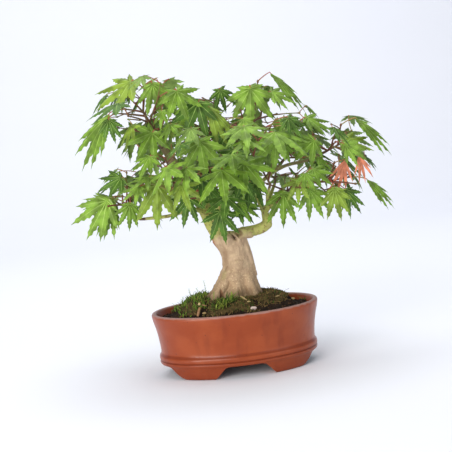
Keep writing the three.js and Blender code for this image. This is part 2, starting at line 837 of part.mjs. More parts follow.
// The pair of leaves at a twig's end, or the one that finds room
function leafPair(twig, name, mass, twigSeed, growth) {
  const seed = twigSeed + SEED_STEPS.leaves;
  const pair = [];
  for (const side of [-1, 1])
    for (let attempt = 0; attempt < TRIES; attempt++) {
      const leaf = leafAt(twig, side, drawing(seed + SEED_STEPS.side * side + attempt), attempt);
      const tried = { sticks: growth.sticks, leaves: [...growth.leaves, ...pair] };
      if (!leafFits(leaf, name, mass, tried)) continue;
      pair.push(leaf);
      break;
    }
  return pair;
}

// The twigs and leaves of one mass, each kept clear of all that has grown before it
function growMass(name, mass, plant, growth) {
  for (let node = 0; node < mass.nodes; node++)
    for (let attempt = 0; attempt < TRIES; attempt++) {
      const seed = mass.seed * SEED_STEPS.mass + node * SEED_STEPS.node + attempt * SEED_STEPS.attempt;
      const end = twigEnd(mass, node, drawing(seed));
      const twig = { root: rootOnStem(plant.stem, end), end };
      const stick = { owner: name, line: [twig.root, end], radius: TWIG_RADIUS };
      if (!twigFits(stick, growth)) continue;
      const pair = leafPair(twig, name, mass, seed, { ...growth, sticks: [...growth.sticks, stick] });
      if (pair.length === 0) continue;
      plant.twigs.push({ ...twig, leaves: pair });
      growth.sticks.push(stick, ...pair.map((leaf) => petioleStick(leaf, name)));
      growth.leaves.push(...pair);
      break;
    }
}

function growYoung({ mass, at: place, from, along, length }, plant, growth) {
  const base = at(place);
  const node = base.clone().add(at(from));
  const facing = new THREE.Vector3(0.15, -1, 0.1);
  const leaf = blade({ base, along: at(along).normalize(), facing, length, droop: YOUNG_DROOP, node });
  plant.twigs.push({ root: plant.stem[2].clone(), end: node, leaves: [leaf] });
  growth.sticks.push({ owner: mass, line: [plant.stem[2], node], radius: TWIG_RADIUS });
  growth.sticks.push(petioleStick(leaf, mass));
  growth.leaves.push(leaf);
}

function startGrowth(paths) {
  const growth = { sticks: limbSticks(paths), leaves: [] };
  const plants = {};
  for (const [name, mass] of Object.entries(MASSES)) {
    const stem = stemOf(mass, paths);
    plants[name] = { stem, twigs: [] };
    for (let k = 0; k < 2; k++)
      growth.sticks.push({ owner: name, line: [stem[k], stem[k + 1]], radius: STEM_RADIUS });
  }
  for (const young of YOUNG_LEAVES) growYoung(young, plants[young.mass], growth);
  return { growth, plants };
}

function grow(paths) {
  const { growth, plants } = startGrowth(paths);
  for (const [name, mass] of Object.entries(MASSES)) growMass(name, mass, plants[name], growth);
  return plants;
}

// One mass as a solid: its stem and twigs, the petioles of each pair as one bent stick, and the leaves,
// each sunk into the one before
function massSolid({ stem, twigs }) {
  const pieces = [stick(stem, [STEM_RADIUS, STEM_RADIUS, TWIG_RADIUS], TWIG_SIDES + 1)];
  for (const { root, end, leaves } of twigs) {
    pieces.push(stick([root, end], [TWIG_RADIUS, TWIG_RADIUS], TWIG_SIDES));
    const sunk = leaves.map((leaf) => leaf.base.clone().lerp(leaf.hub, PETIOLE_SINK));
    const petioles = [sunk[0], end, ...sunk.slice(1)];
    pieces.push(stick(petioles, petioles.map(() => PETIOLE_RADIUS), TWIG_SIDES));
    for (const leaf of leaves) pieces.push(toSolid(bladeGeometry(leaf)));
  }
  const whole = wasm.Manifold.union(pieces);
  if (whole.decompose().length !== 1) throw new Error("a mass is in more than one body");
  return whole;
}

// Assembly

const plant = new THREE.Group();

function addMesh(name, solid, look) {
  const mesh = new THREE.Mesh(toGeometry(solid), LOOKS[look]);
  mesh.name = name;
  plant.add(mesh);
}

const soil = buildSoil();
addMesh("pot", buildPot(), "pot");
addMesh("soil", soil, "soil");
const raisedSoil = soil.translate([0, 0, GAP]);
for (const [name, pad] of Object.entries(MOSS_PADS)) addMesh(name, buildMoss(pad, raisedSoil), "moss");

const paths = Object.fromEntries(Object.entries(BOUGHS).map(([name, bough]) => [name, boughPath(bough)]));
const grownTrunk = buildTrunk(GAP);
addMesh("trunk", buildTrunk(), "bark");
for (const [name, { parent }] of Object.entries(BOUGHS)) {
  const carrier = parent === "trunk" ? grownTrunk : boughSolid(paths[parent], GAP);
  addMesh(name, mainBody(boughSolid(paths[name]).subtract(carrier)), "bough");
}

const trunkPath = TRUNK_SECTIONS.map(({ x, z, halfWidth }) => ({ p: at([x, 0, z]), radius: halfWidth }));
for (const [name, parts] of Object.entries(grow({ trunk: trunkPath, ...paths })))
  addMesh(name, massSolid(parts), "leaf");

const bounds = new THREE.Box3().setFromObject(plant);
plant.position.set(-(bounds.min.x + bounds.max.x) / 2, -(bounds.min.y + bounds.max.y) / 2, -bounds.min.z);

const tree = new THREE.Group();
tree.add(plant);

export default tree;
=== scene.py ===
"""Dresses a small potted maple, trained as a miniature tree, around its solid model.

The pot, the soil with its moss, the wood and the leaves are each made by a class of their own. The crown
grows by the seeded rule of the solid model's source: stems go on from the boughs, twigs leave them at a
slant, and a pair of leaves ends each twig. Leaves that stand out in the photograph then take the places of
those that they would meet, and finer twigs with smaller leaves follow. The rule works in millimetres around
the middle of the pot, and finished pieces are in metres in the model's frame.
"""

from __future__ import annotations

import json
import logging
import math
from dataclasses import dataclass, field, replace
from enum import Enum, IntEnum
from typing import Callable, Sequence

import bpy
import numpy as np
from mathutils import Matrix, Vector

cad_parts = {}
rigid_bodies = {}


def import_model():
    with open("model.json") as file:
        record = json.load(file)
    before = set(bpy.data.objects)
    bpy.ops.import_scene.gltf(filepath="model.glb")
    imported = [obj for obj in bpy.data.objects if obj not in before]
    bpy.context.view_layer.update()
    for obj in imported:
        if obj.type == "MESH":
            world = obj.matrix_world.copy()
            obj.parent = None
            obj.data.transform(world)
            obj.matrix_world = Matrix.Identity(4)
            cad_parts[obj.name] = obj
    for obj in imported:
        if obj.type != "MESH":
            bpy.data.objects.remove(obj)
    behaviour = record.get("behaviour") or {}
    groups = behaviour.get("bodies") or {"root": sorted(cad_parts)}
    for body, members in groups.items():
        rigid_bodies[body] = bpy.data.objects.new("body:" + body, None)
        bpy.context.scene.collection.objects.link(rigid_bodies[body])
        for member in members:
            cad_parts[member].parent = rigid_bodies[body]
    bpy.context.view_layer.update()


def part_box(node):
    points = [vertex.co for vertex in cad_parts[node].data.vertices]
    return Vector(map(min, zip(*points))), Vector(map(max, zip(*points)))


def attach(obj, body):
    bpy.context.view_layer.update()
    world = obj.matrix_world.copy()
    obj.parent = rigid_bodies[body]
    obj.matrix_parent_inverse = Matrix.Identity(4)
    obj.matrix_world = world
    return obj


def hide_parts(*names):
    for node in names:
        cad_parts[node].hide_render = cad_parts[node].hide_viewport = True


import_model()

log = logging.getLogger("bonsai")
logging.basicConfig(level=logging.INFO, format="%(name)s: %(message)s")

Array = np.ndarray
Colour = tuple[int, int, int]
Triple = tuple[float, float, float]
Faces = Sequence[Sequence[int]]
Draw = Callable[[], float]
Thing = bpy.types.Object
Paint = bpy.types.Material
Socket = bpy.types.NodeSocket
MM = 0.001
BODY = "root"
UP = np.array([0.0, 0.0, 1.0])
RADIANS = math.pi / 180
BITS = 0xFFFFFFFF


def middle_of_pot() -> Array:
    """Finds the middle of the pot, on the surface that it stands on, in metres in the model's frame."""
    low, high = (np.array(corner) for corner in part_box("pot"))
    return np.array([(low[0] + high[0]) / 2, (low[1] + high[1]) / 2, low[2]])


POT_MIDDLE = middle_of_pot()


def unit(vector: Array) -> Array:
    """Scales a vector to length 1."""
    return vector / np.linalg.norm(vector)


def units(vectors: Array) -> Array:
    """Scales each row to length 1."""
    return vectors / np.maximum(np.linalg.norm(vectors, axis=-1, keepdims=True), 1e-12)


def between(limits: Sequence[float], share: float | Array) -> float | Array:
    """Gives the value at a share of the way between two limits."""
    return limits[0] + (limits[1] - limits[0]) * share


def to_frame(points: Array) -> Array:
    """Moves points from millimetres round the pot's middle to metres in the model's frame."""
    return np.asarray(points, dtype=float) * MM + POT_MIDDLE


# The growth rule, in millimetres around the middle of the pot


@dataclass(frozen=True)
class TrunkSection:
    """One level cut through the trunk."""

    z: float
    x: float
    half_width: float
    half_depth: float
    ridge: float


@dataclass(frozen=True)
class Bough:
    """A limb that tapers evenly along a smooth curve through its points."""

    points: Sequence[Triple]
    width: tuple[float, float]


@dataclass(frozen=True)
class Mass:
    """A mass of leaves: its bough, the region that its twigs end in, how many they are, and its seed."""

    bough: str
    centre: Triple
    spread: Triple
    nodes: int
    seed: int


GROUND = 63.0
GAP = 0.3
ROOT_RIDGES = 5
ROOT_RIDGE_ANGLE = 192
TRUNK_SECTIONS = [
    TrunkSection(GROUND + GAP, 0, 26, 20.5, 0.09),
    TrunkSection(67, 0.6, 23.2, 18.5, 0.1),
    TrunkSection(72, 3.2, 19.4, 16.5, 0.09),
    TrunkSection(79, 5.6, 16, 14.5, 0.06),
    TrunkSection(87, 6.4, 14.3, 13, 0.03),
    TrunkSection(96, 6.4, 12.6, 12, 0.02),
    TrunkSection(105, 4.3, 12.6, 11.6, 0),
    TrunkSection(112, 1.7, 13.6, 11.2, 0),
    TrunkSection(118, -0.8, 14.4, 10.4, 0),
    TrunkSection(121.5, -1.2, 12.6, 8.6, 0),
]

def trunk_points(section: TrunkSection, angles: Array) -> Array:
    """Gives points on the trunk's outline at one section.

    Args:
        section: The section.
        angles: Angles round the trunk.

    Returns:
        Rows of x, y, z in millimetres.
    """
    ridge = 1 + section.ridge * np.cos(ROOT_RIDGES * (angles - ROOT_RIDGE_ANGLE * RADIANS))
    x = section.x + section.half_width * ridge * np.cos(angles)
    return np.stack([x, section.half_depth * ridge * np.sin(angles), np.full_like(x, section.z)], axis=-1)


class SmoothCurve:
    """A centripetal curve through a few points."""

    def __init__(self, points: Sequence[Sequence[float]]) -> None:
        """Takes three or more points and adds one past each end."""
        inner = np.array(points, dtype=float)
        self.points = np.vstack([2 * inner[0] - inner[1], inner, 2 * inner[-1] - inner[-2]])
        self.spans = len(inner) - 1

    def at(self, share: float) -> Array:
        """Gives a point of the curve.

        Args:
            share: From 0 at the first point to 1 at the last.

        Returns:
            The point.
        """
        place = self.spans * share
        first = min(int(place), self.spans - 1)
        t = place - first
        p0, p1, p2, p3 = self.points[first : first + 4]
        d0, d1, d2 = (float((b - a) @ (b - a)) ** 0.25 for a, b in ((p0, p1), (p1, p2), (p2, p3)))
        start = ((p1 - p0) / d0 - (p2 - p0) / (d0 + d1) + (p2 - p1) / d1) * d1
        end = ((p2 - p1) / d1 - (p3 - p1) / (d1 + d2) + (p3 - p2) / d2) * d1
        square = -3 * p1 + 3 * p2 - 2 * start - end
        return p1 + t * (start + t * (square + t * (2 * p1 - 2 * p2 + start + end)))

    def length(self) -> float:
        """Measures the curve along 200 chords."""
        points = np.array([self.at(k / 200) for k in range(201)])
        return float(np.linalg.norm(np.diff(points, axis=0), axis=1).sum())


BOUGHS = {
    "bough_leader": Bough(
        [(-3, 1, 108), (-9.6, 1, 123), (-21.8, 0, 151.4), (-37.6, -2, 181), (-49, -4, 203)], (15.6, 6.8)
    ),
    "bough_right_low": Bough(
        [(7, -1, 118.5), (16, -3, 120.6), (26, -4, 121.5), (34, -4.5, 124.5), (36.8, -5, 130.5)], (11, 9)
    ),
    "bough_right_high": Bough(
        [(36.8, -5, 129), (34.8, -5, 136.5), (39.5, -5.5, 142.3), (52, -8, 150.5)], (7.6, 4.6)
    ),
    "bough_back": Bough([(-3, 5, 114), (-9, 16, 125), (-13, 30, 139), (-8, 43, 148)], (7.5, 3.8)),
    "bough_centre": Bough([(-17, 1, 144), (-9, 3, 163), (1.5, 4, 182), (2.5, 3, 199)], (6, 3.6)),
    "bough_left_low": Bough([(-16.5, -1, 141), (-30, -7, 146), (-50, -8, 142.5), (-72, -6, 142)], (4.6, 2.8)),
    "bough_front": Bough([(-13, 0, 134), (-9, -13, 142), (-5, -24, 149)], (4.6, 3)),
    "bough_front_left": Bough([(-28, -2, 164), (-36, -16, 168), (-42, -28, 170)], (4.4, 2.8)),
    "bough_back_left": Bough([(-27, 0, 162), (-36, 16, 168), (-44, 31, 174)], (5, 3)),
    "bough_back_top": Bough([(-12, 26, 135), (-16, 30, 156), (-12, 33, 180)], (4.4, 3)),
    "bough_top": Bough([(0, 4, 179), (12, 4, 195), (22, 3, 208)], (4, 3)),
    "bough_right_upper": Bough(
        [(35, -5, 135), (31, 1, 150), (36, 3, 163), (49, 1, 173), (54, 0, 178)], (4.6, 3)
    ),
    "bough_far_right": Bough([(46, 2, 171.5), (62, 5, 176), (78, 4, 178), (92, 1, 183)], (3.6, 2.6)),
    "bough_far_right_low": Bough([(44, -6, 145.5), (60, -1, 153), (78, 0, 157)], (3.8, 2.6)),
    "bough_back_right": Bough([(37, -5, 139.5), (43, 10, 149), (50, 26, 158)], (4.4, 3)),
    "bough_front_right": Bough([(38, -5, 141), (37, -17, 152), (38, -28, 160)], (3.6, 2.6)),
}
MASSES = {
    "foliage_upper_left": Mass("bough_leader", (-64, -8, 236), (28, 26, 20), 6, 28),
    "foliage_left_low": Mass("bough_left_low", (-92, -10, 158), (24, 22, 15), 5, 31),
    "foliage_far_right": Mass("bough_far_right", (108, -4, 190), (18, 20, 13), 4, 23),
    "foliage_far_right_low": Mass("bough_far_right_low", (94, -12, 158), (22, 20, 14), 4, 32),
    "foliage_top": Mass("bough_top", (40, -4, 222), (26, 24, 15), 5, 8),
    "foliage_right_low": Mass("bough_right_high", (58, -22, 157), (24, 20, 13), 5, 13),
    "foliage_right": Mass("bough_right_upper", (68, -10, 194), (24, 24, 16), 5, 4),
    "foliage_centre": Mass("bough_centre", (-10, -12, 218), (26, 24, 17), 5, 14),
    "foliage_mid_left": Mass("bough_front_left", (-48, -38, 178), (22, 18, 20), 5, 14),
    "foliage_front": Mass("bough_front", (-12, -42, 166), (26, 18, 20), 5, 28),
    "foliage_front_right": Mass("bough_front_right", (24, -44, 190), (22, 18, 18), 4, 24),
    "foliage_back_left": Mass("bough_back_left", (-54, 48, 190), (28, 24, 24), 4, 22),
    "foliage_back": Mass("bough_back", (-4, 68, 166), (28, 22, 17), 4, 23),
    "foliage_back_top": Mass("bough_back_top", (-6, 50, 212), (28, 26, 18), 4, 7),
    "foliage_back_right": Mass("bough_back_right", (58, 50, 182), (30, 24, 24), 4, 6),
}
LIMB_STEP = 9
LIMB_STEPS = 4


def bough_path(bough: Bough) -> tuple[Array, Array]:
    """Gives the rings of a bough.

    Args:
        bough: The bough.

    Returns:
        The middles of the rings and their radii, in millimetres.
    """
    curve = SmoothCurve(bough.points)
    steps = max(LIMB_STEPS, math.floor(curve.length() / LIMB_STEP + 0.5))
    shares = [k / steps for k in range(steps + 1)]
    return np.array([curve.at(share) for share in shares]), between(bough.width, np.array(shares)) / 2


@dataclass(frozen=True)
class Lobe:
    """One lobe of a leaf: its angle in degrees, its length and the half width of its shoulders."""

    angle: float
    length: float
    shoulder: float


LOBES = [Lobe(0, 0.94, 0.155), Lobe(40, 0.86, 0.16), Lobe(82, 0.64, 0), Lobe(128, 0.34, 0)]
HUB = 0.08
SINUS_DEPTH = 0.38
SHOULDER_PLACE = 0.54
LOBE_FOLD = 0.06
LEAF_DROOP = (0.156, 0.364)
LEAF_LENGTH = (30, 43)
LEAF_THICKNESS = 1.5
PETIOLE_LENGTH = (12, 24)
PETIOLE_RADIUS = 0.6
PETIOLE_SLANT = (0.65, 1.25)
PETIOLE_LIFT = 0.15
FOLDED_BACK = -0.3
LEAF_SWING = 1.6
LEAF_HANG = (0.35, 1.05)
LEAF_SPLAY = 0.5
LEAF_TILT = 0.7
LEAF_SPAN = 1.08
TWIG_RADIUS = 0.85
TWIG_REACH = (0.8, 1.1)
TWIG_TURN = 1.2
TWIG_LEAD = 0.7
TWIG_PLACES = (0.12, 0.97)
STEM_RADIUS = 1.2
STEM_BEND = 4
CLEARANCE = 0.75
REACH = np.array([40, 38, 34])
CROWN_MIDDLE = (8, 0, 158)
GOLDEN_TURN = math.pi * (3 - math.sqrt(5))
TRIES = 12
SWING_PER_TRY = 0.25
SHRINK_PER_TRY = 0.02
MASS_SEEDS = 10000
NODE_SEEDS = 1000
TRY_SEEDS = 200
LEAF_SEEDS = 100
SIDE_SEEDS = 50
YOUNG_MASS = "foliage_far_right_low"
YOUNG_FACING = (0.15, -1, 0.1)
YOUNG_DROOP = 0.26


@dataclass(frozen=True)
class YoungLeaf:
    """A young leaf: the place of its base, its petiole's start from there, its direction and its length."""

    at: Triple
    start: Triple
    along: Triple
    length: float


YOUNG_LEAVES = [
    YoungLeaf((109, -14, 176), (-9, 3, -2), (-0.25, -0.1, -1), 24),
    YoungLeaf((122, -12, 178), (-9, 3, 1), (0.3, -0.1, -1), 20),
]


def drawing(seed: int) -> Draw:
    """Starts a run of numbers from 0 to 1 that a seed settles.

    Args:
        seed: A whole number.

    Returns:
        A function that gives the next number each time.
    """
    state = seed & BITS

    def draw() -> float:
        """Gives the next number."""
        nonlocal state
        state = (state + 0x6D2B79F5) & BITS
        t = ((state ^ (state >> 15)) * (state | 1)) & BITS
        t = ((t + (((t ^ (t >> 7)) * (t | 61)) & BITS)) & BITS) ^ t
        return (t ^ (t >> 14)) / (BITS + 1)

    return draw


def off_middle(draw: Draw, count: int) -> Array:
    """Draws so many numbers from -0.5 to 0.5."""
    return np.array([draw() - 0.5 for _ in range(count)])


def rule_outline() -> tuple[Array, Array]:
    """Works out the plain outline of a leaf of length 1 around its hub, which the rule tests for room.

    Returns:
        The corners as rows of sideways and lengthways place, and how far each is folded down.
    """
    half: list[Triple] = []
    for place, lobe in enumerate(LOBES):
        angle = lobe.angle * RADIANS
        aside = math.atan2(lobe.shoulder, lobe.length * SHOULDER_PLACE)
        far = math.hypot(lobe.shoulder, lobe.length * SHOULDER_PLACE)
        if place > 0 and lobe.shoulder:
            half.append((angle - aside, far, LOBE_FOLD))
        half.append((angle, lobe.length, 0.0))
        if lobe.shoulder:
            half.append((angle + aside, far, LOBE_FOLD))
        if place + 1 < len(LOBES):
            following = LOBES[place + 1]
            middle = (lobe.angle + following.angle) / 2 * RADIANS
            half.append((middle, SINUS_DEPTH * following.length**0.5, LOBE_FOLD / 2))
    other = [(-angle, far, fold) for angle, far, fold in reversed(half[1:])]
    whole = [*half, (math.pi, HUB, 0.0), *other]
    flat = np.array([(far * math.sin(angle), far * math.cos(angle)) for angle, far, _ in whole])
    return flat, np.array([fold for _, _, fold in whole])


def outline_growth(flat: Array) -> Array:
    """Works out how far each corner of an outline moves when the outline grows by 1.

    Args:
        flat: The corners, clockwise.

    Returns:
        One row of sideways and lengthways movement for each corner.
    """
    before = units(flat - np.roll(flat, 1, axis=0))
    after = units(np.roll(flat, -1, axis=0) - flat)
    total = np.stack([-before[:, 1] - after[:, 1], before[:, 0] + after[:, 0]], axis=1)
    size = np.linalg.norm(total, axis=1)[:, None]
    return total / size * np.minimum(2 / np.maximum(size, 1e-9), 2)


FLAT, FOLD = rule_outline()
GROWTH = outline_growth(FLAT)
FAR = np.linalg.norm(FLAT, axis=1)


@dataclass(frozen=True)
class View:
    """The photograph's view of the plant: where the camera is and which way it looks."""

    turn: float = -5.5
    raised: float = 9.4
    roll: float = 5.7
    distance: float = 1000.0
    focal_pixels: float = 1110.0
    image: float = 452.0
    aim: Triple = (0.0, 0.0, 56.0)
    aim_pixel: tuple[float, float] = (234.5, 304.7)

    def back(self) -> Array:
        """Gives the direction from what the camera looks at back to the camera."""
        turn, raised = self.turn * RADIANS, self.raised * RADIANS
        level = math.cos(raised)
        return np.array([math.sin(turn) * level, -math.cos(turn) * level, math.sin(raised)])

    def eye(self) -> Array:
        """Gives the camera's place in millimetres round the pot's middle."""
        return np.array(self.aim) + self.back() * self.distance

    def ray(self, pixel: Sequence[float]) -> Array:
        """Gives the direction in which a pixel shows, in the camera's own axes."""
        x, down = (value - self.image / 2 for value in pixel)
        return np.array([x / self.focal_pixels, -down / self.focal_pixels, -1.0])

    def axes(self) -> Array:
        """Works out the camera's axes, so that the point aimed at falls on its place in the image.

        Returns:
            The axes to the right, up and back as rows.
        """
        sine, cosine = math.sin(self.roll * RADIANS), math.cos(self.roll * RADIANS)
        right = np.array([math.cos(self.turn * RADIANS), math.sin(self.turn * RADIANS), 0.0])
        up = np.cross(self.back(), right)
        rows = np.stack([cosine * right - sine * up, sine * right + cosine * up, self.back()])
        wanted = unit(self.ray(self.aim_pixel))
        v = np.cross(-UP, wanted)
        k = np.array([[0, -v[2], v[1]], [v[2], 0, -v[0]], [-v[1], v[0], 0]])
        return (np.eye(3) + k + k @ k / (1 - UP @ wanted)) @ rows

    def pixels(self, points: Array) -> Array:
        """Tells where points show in the photograph."""
        seen = (points - self.eye()) @ self.axes().T
        return self.image / 2 + self.focal_pixels * seen[:, :2] * np.array([1, -1]) / -seen[:, 2:]

    def point(self, pixel: Sequence[float], y: float) -> Array:
        """Gives the point that shows at a pixel, at a given depth."""
        ray, eye = self.ray(pixel) @ self.axes(), self.eye()
        return eye + ray * (y - eye[1]) / ray[1]


@dataclass(frozen=True)
class Sky:
    """Where the photograph shows sky or bare wood: outside the crown and in its openings, in pixels."""

    outline: tuple[tuple[float, float], ...] = (
        (73, 170), (84, 134), (96, 118), (89, 107), (97, 92), (104, 84), (128, 74), (147, 75), (172, 78),
        (190, 87), (205, 96), (216, 88), (245, 85), (264, 74), (280, 75), (300, 92), (311, 110), (322, 120),
        (337, 128), (343, 114), (372, 119), (386, 132), (394, 152), (383, 150), (377, 146), (374, 163),
        (368, 180), (383, 186), (398, 208), (380, 197), (368, 191), (357, 190), (366, 215), (352, 205),
        (342, 222), (334, 205), (325, 221), (312, 206), (300, 203), (294, 210), (284, 228), (277, 213),
        (270, 214), (262, 238), (205, 240), (196, 226), (184, 225), (176, 214), (164, 216), (158, 229),
        (154, 213), (140, 218), (130, 230), (124, 213), (114, 218), (101, 248), (98, 229), (91, 224),
        (81, 243), (88, 214), (73, 206), (98, 193), (97, 187), (112, 167), (124, 167), (130, 180),
        (138, 172), (143, 160), (140, 152), (126, 154), (122, 141), (114, 143), (108, 130), (100, 138),
        (88, 160),
    )
    openings: tuple[tuple[float, float, float, float], ...] = (
        (136, 110, 7, 7), (153, 107, 8, 8), (120, 124, 9, 9), (213, 103, 7, 6), (237, 109, 13, 6),
        (278, 112, 8, 6), (260, 174, 12, 9), (290, 168, 15, 9), (190, 172, 4, 4), (234, 226, 10, 7),
        (328, 138, 11, 5), (324, 203, 5, 8), (149, 208, 7, 6), (174, 141, 4, 6), (245, 152, 5, 4),
        (288, 107, 6, 5), (262, 162, 5, 4), (226, 148, 4, 6),
        (207, 226, 9, 13), (264, 222, 7, 13), (172, 159, 7, 9), (100, 177, 5, 5), (120, 158, 9, 7),
    )
    limit: float = 0.2
    rule_limit: float = 0.33
    halfway: float = 0.55

    def inside(self, pixels: Array) -> Array:
        """Tells which points show inside the crown's outline.

        Args:
            pixels: Where the points show.

        Returns:
            True or False for each.
        """
        outline = np.array(self.outline, dtype=float)
        before = np.roll(outline, 1, axis=0)
        x, y = pixels[:, :1], pixels[:, 1:]
        spans = (outline[:, 1] > y) != (before[:, 1] > y)
        rise = np.where(before[:, 1] == outline[:, 1], 1, before[:, 1] - outline[:, 1])
        edge = outline[:, 0] + (y - outline[:, 1]) * (before[:, 0] - outline[:, 0]) / rise
        return (spans & (x < edge)).sum(axis=1) % 2 == 1

    def shows(self, leaf: Leaf, view: View) -> bool:
        """Tells whether a leaf would hide the sky.

        Args:
            leaf: The leaf.
            view: The photograph's view.

        Returns:
            True where too much of it does.
        """
        corners = leaf.corners()
        pixels = view.pixels(np.concatenate([corners, leaf.hub + self.halfway * (corners - leaf.hub)]))
        holes = np.array(self.openings)
        aside = (pixels[:, :1] - holes[:, 0]) / holes[:, 2]
        down = (pixels[:, 1:] - holes[:, 1]) / holes[:, 3]
        open_sky = ~self.inside(pixels) | (aside**2 + down**2 < 1).any(axis=1)
        return float(open_sky.mean()) > (self.limit if leaf.fine else self.rule_limit)


@dataclass(eq=False)
class Leaf:
    """A leaf: where its petiole starts and ends, its directions, its length and its droop."""

    node: Array
    base: Array
    along: Array
    facing: Array
    length: float
    droop: float
    mass: str = ""
    spray: int = 0
    fine: bool = False
    spread: float = 1.0
    clear: float = 1.0
    normal: Array = field(init=False)
    across: Array = field(init=False)
    hub: Array = field(init=False)
    shells: dict[float, Array] = field(init=False, default_factory=dict)
    edges: Array | None = field(init=False, default=None)

    def __post_init__(self) -> None:
        """Works out the blade's other directions and its hub."""
        self.normal = unit(self.facing - self.along * self.facing.dot(self.along))
        self.across = np.cross(self.along, self.normal)
        self.hub = self.base + self.along * HUB * self.length

    def petiole(self) -> Stick:
        """Gives the leaf's stalk."""
        return Stick(self.mass, self.node, self.base, PETIOLE_RADIUS)

    def corners(self, grown: float = 0.0, lift: float = 0.0) -> Array:
        """Gives the corners of the blade's plain outline.

        Args:
            grown: How far the outline grows sideways, in millimetres.
            lift: How far it is lifted along the blade's normal, in millimetres.

        Returns:
            The corners in millimetres.
        """
        flat = (FLAT * self.length + GROWTH * grown) * np.array([self.spread, 1.0])
        rise = lift - (self.droop * FAR * FAR + FOLD) * self.length
        return self.hub + flat[:, :1] * self.across + flat[:, 1:] * self.along + rise[:, None] * self.normal

    def shell(self, margin: float) -> Array:
        """Gives the space that the leaf keeps for itself.

        Args:
            margin: How far it reaches past the blade, in millimetres.

        Returns:
            Triangles as an array of shape (count, 3, 3).
        """
        if margin not in self.shells:
            above, below = self.corners(margin, margin), self.corners(margin, -margin)
            above_next, below_next = (np.roll(rim, -1, axis=0) for rim in (above, below))
            half = self.normal * (margin + LEAF_THICKNESS / 2)
            middles = (self.hub + half, self.hub - half)
            high, low = (np.broadcast_to(middle, above.shape) for middle in middles)
            sides = ((high, above_next, above), (low, below, below_next))
            sides += ((above, above_next, below_next), (above, below_next, below))
            self.shells[margin] = np.concatenate([np.stack(side, axis=1) for side in sides])
        return self.shells[margin]

    def lines(self) -> Array:
        """Gives the blade's lines, from its hub to each corner and from each corner to the next.

        Returns:
            Lines as an array of shape (count, 2, 3).
        """
        if self.edges is None:
            corners = self.corners()
            starts = np.concatenate([np.broadcast_to(self.hub, corners.shape), corners])
            self.edges = np.stack([starts, np.concatenate([corners, np.roll(corners, -1, axis=0)])], axis=1)
        return self.edges


def lines_meet_triangles(lines: Array, triangles: Array) -> bool:
    """Tells whether any line passes through any triangle.

    Args:
        lines: Lines of shape (count, 2, 3).
        triangles: Triangles of shape (count, 3, 3).

    Returns:
        True where one does.
    """
    start = lines[:, None, 0]
    along = lines[:, None, 1] - start
    corner = triangles[None, :, 0]
    one = triangles[None, :, 1] - corner
    other = triangles[None, :, 2] - corner
    crossed = np.cross(along, other)
    scale = np.einsum("...i,...i", one, crossed)
    flat = np.abs(scale) < 1e-9
    scale = np.where(flat, 1.0, scale)
    offset = start - corner
    u = np.einsum("...i,...i", offset, crossed) / scale
    turned = np.cross(offset, one)
    v = np.einsum("...i,...i", along, turned) / scale
    t = np.einsum("...i,...i", other, turned) / scale
    inside = (u >= 0) & (u <= 1) & (v >= 0) & (u + v <= 1) & (t >= 0) & (t <= 1)
    return bool((inside & ~flat).any())

@dataclass(frozen=True)
class Stick:
    """A straight piece of wood, with the name of the limb or mass that it belongs to."""

    owner: str
    start: Array
    end: Array
    radius: float

    def line(self) -> Array:
        """Gives the stick as one line."""
        return np.array([[self.start, self.end]])

    def meets(self, leaf: Leaf, margin: float) -> bool:
        """Tells whether the stick meets the space of a leaf.

        Args:
            leaf: The leaf.
            margin: How far that space reaches past its blade, in millimetres.

        Returns:
            True where it does.
        """
        reach = margin * 2 + float(np.linalg.norm(self.end - self.start)) / 2
        if np.linalg.norm(leaf.base - (self.start + self.end) / 2) >= leaf.length * LEAF_SPAN + reach:
            return False
        return lines_meet_triangles(self.line(), leaf.shell(margin))


@dataclass(frozen=True)
class Twig:
    """A twig from its root to its end, with its leaves, and whether it is one of the finer ones."""

    mass: str
    root: Array
    end: Array
    leaves: tuple[Leaf, ...] = ()
    fine: bool = False

    def stick(self) -> Stick:
        """Gives the twig's wood."""
        return Stick(self.mass, self.root, self.end, TWIG_RADIUS)


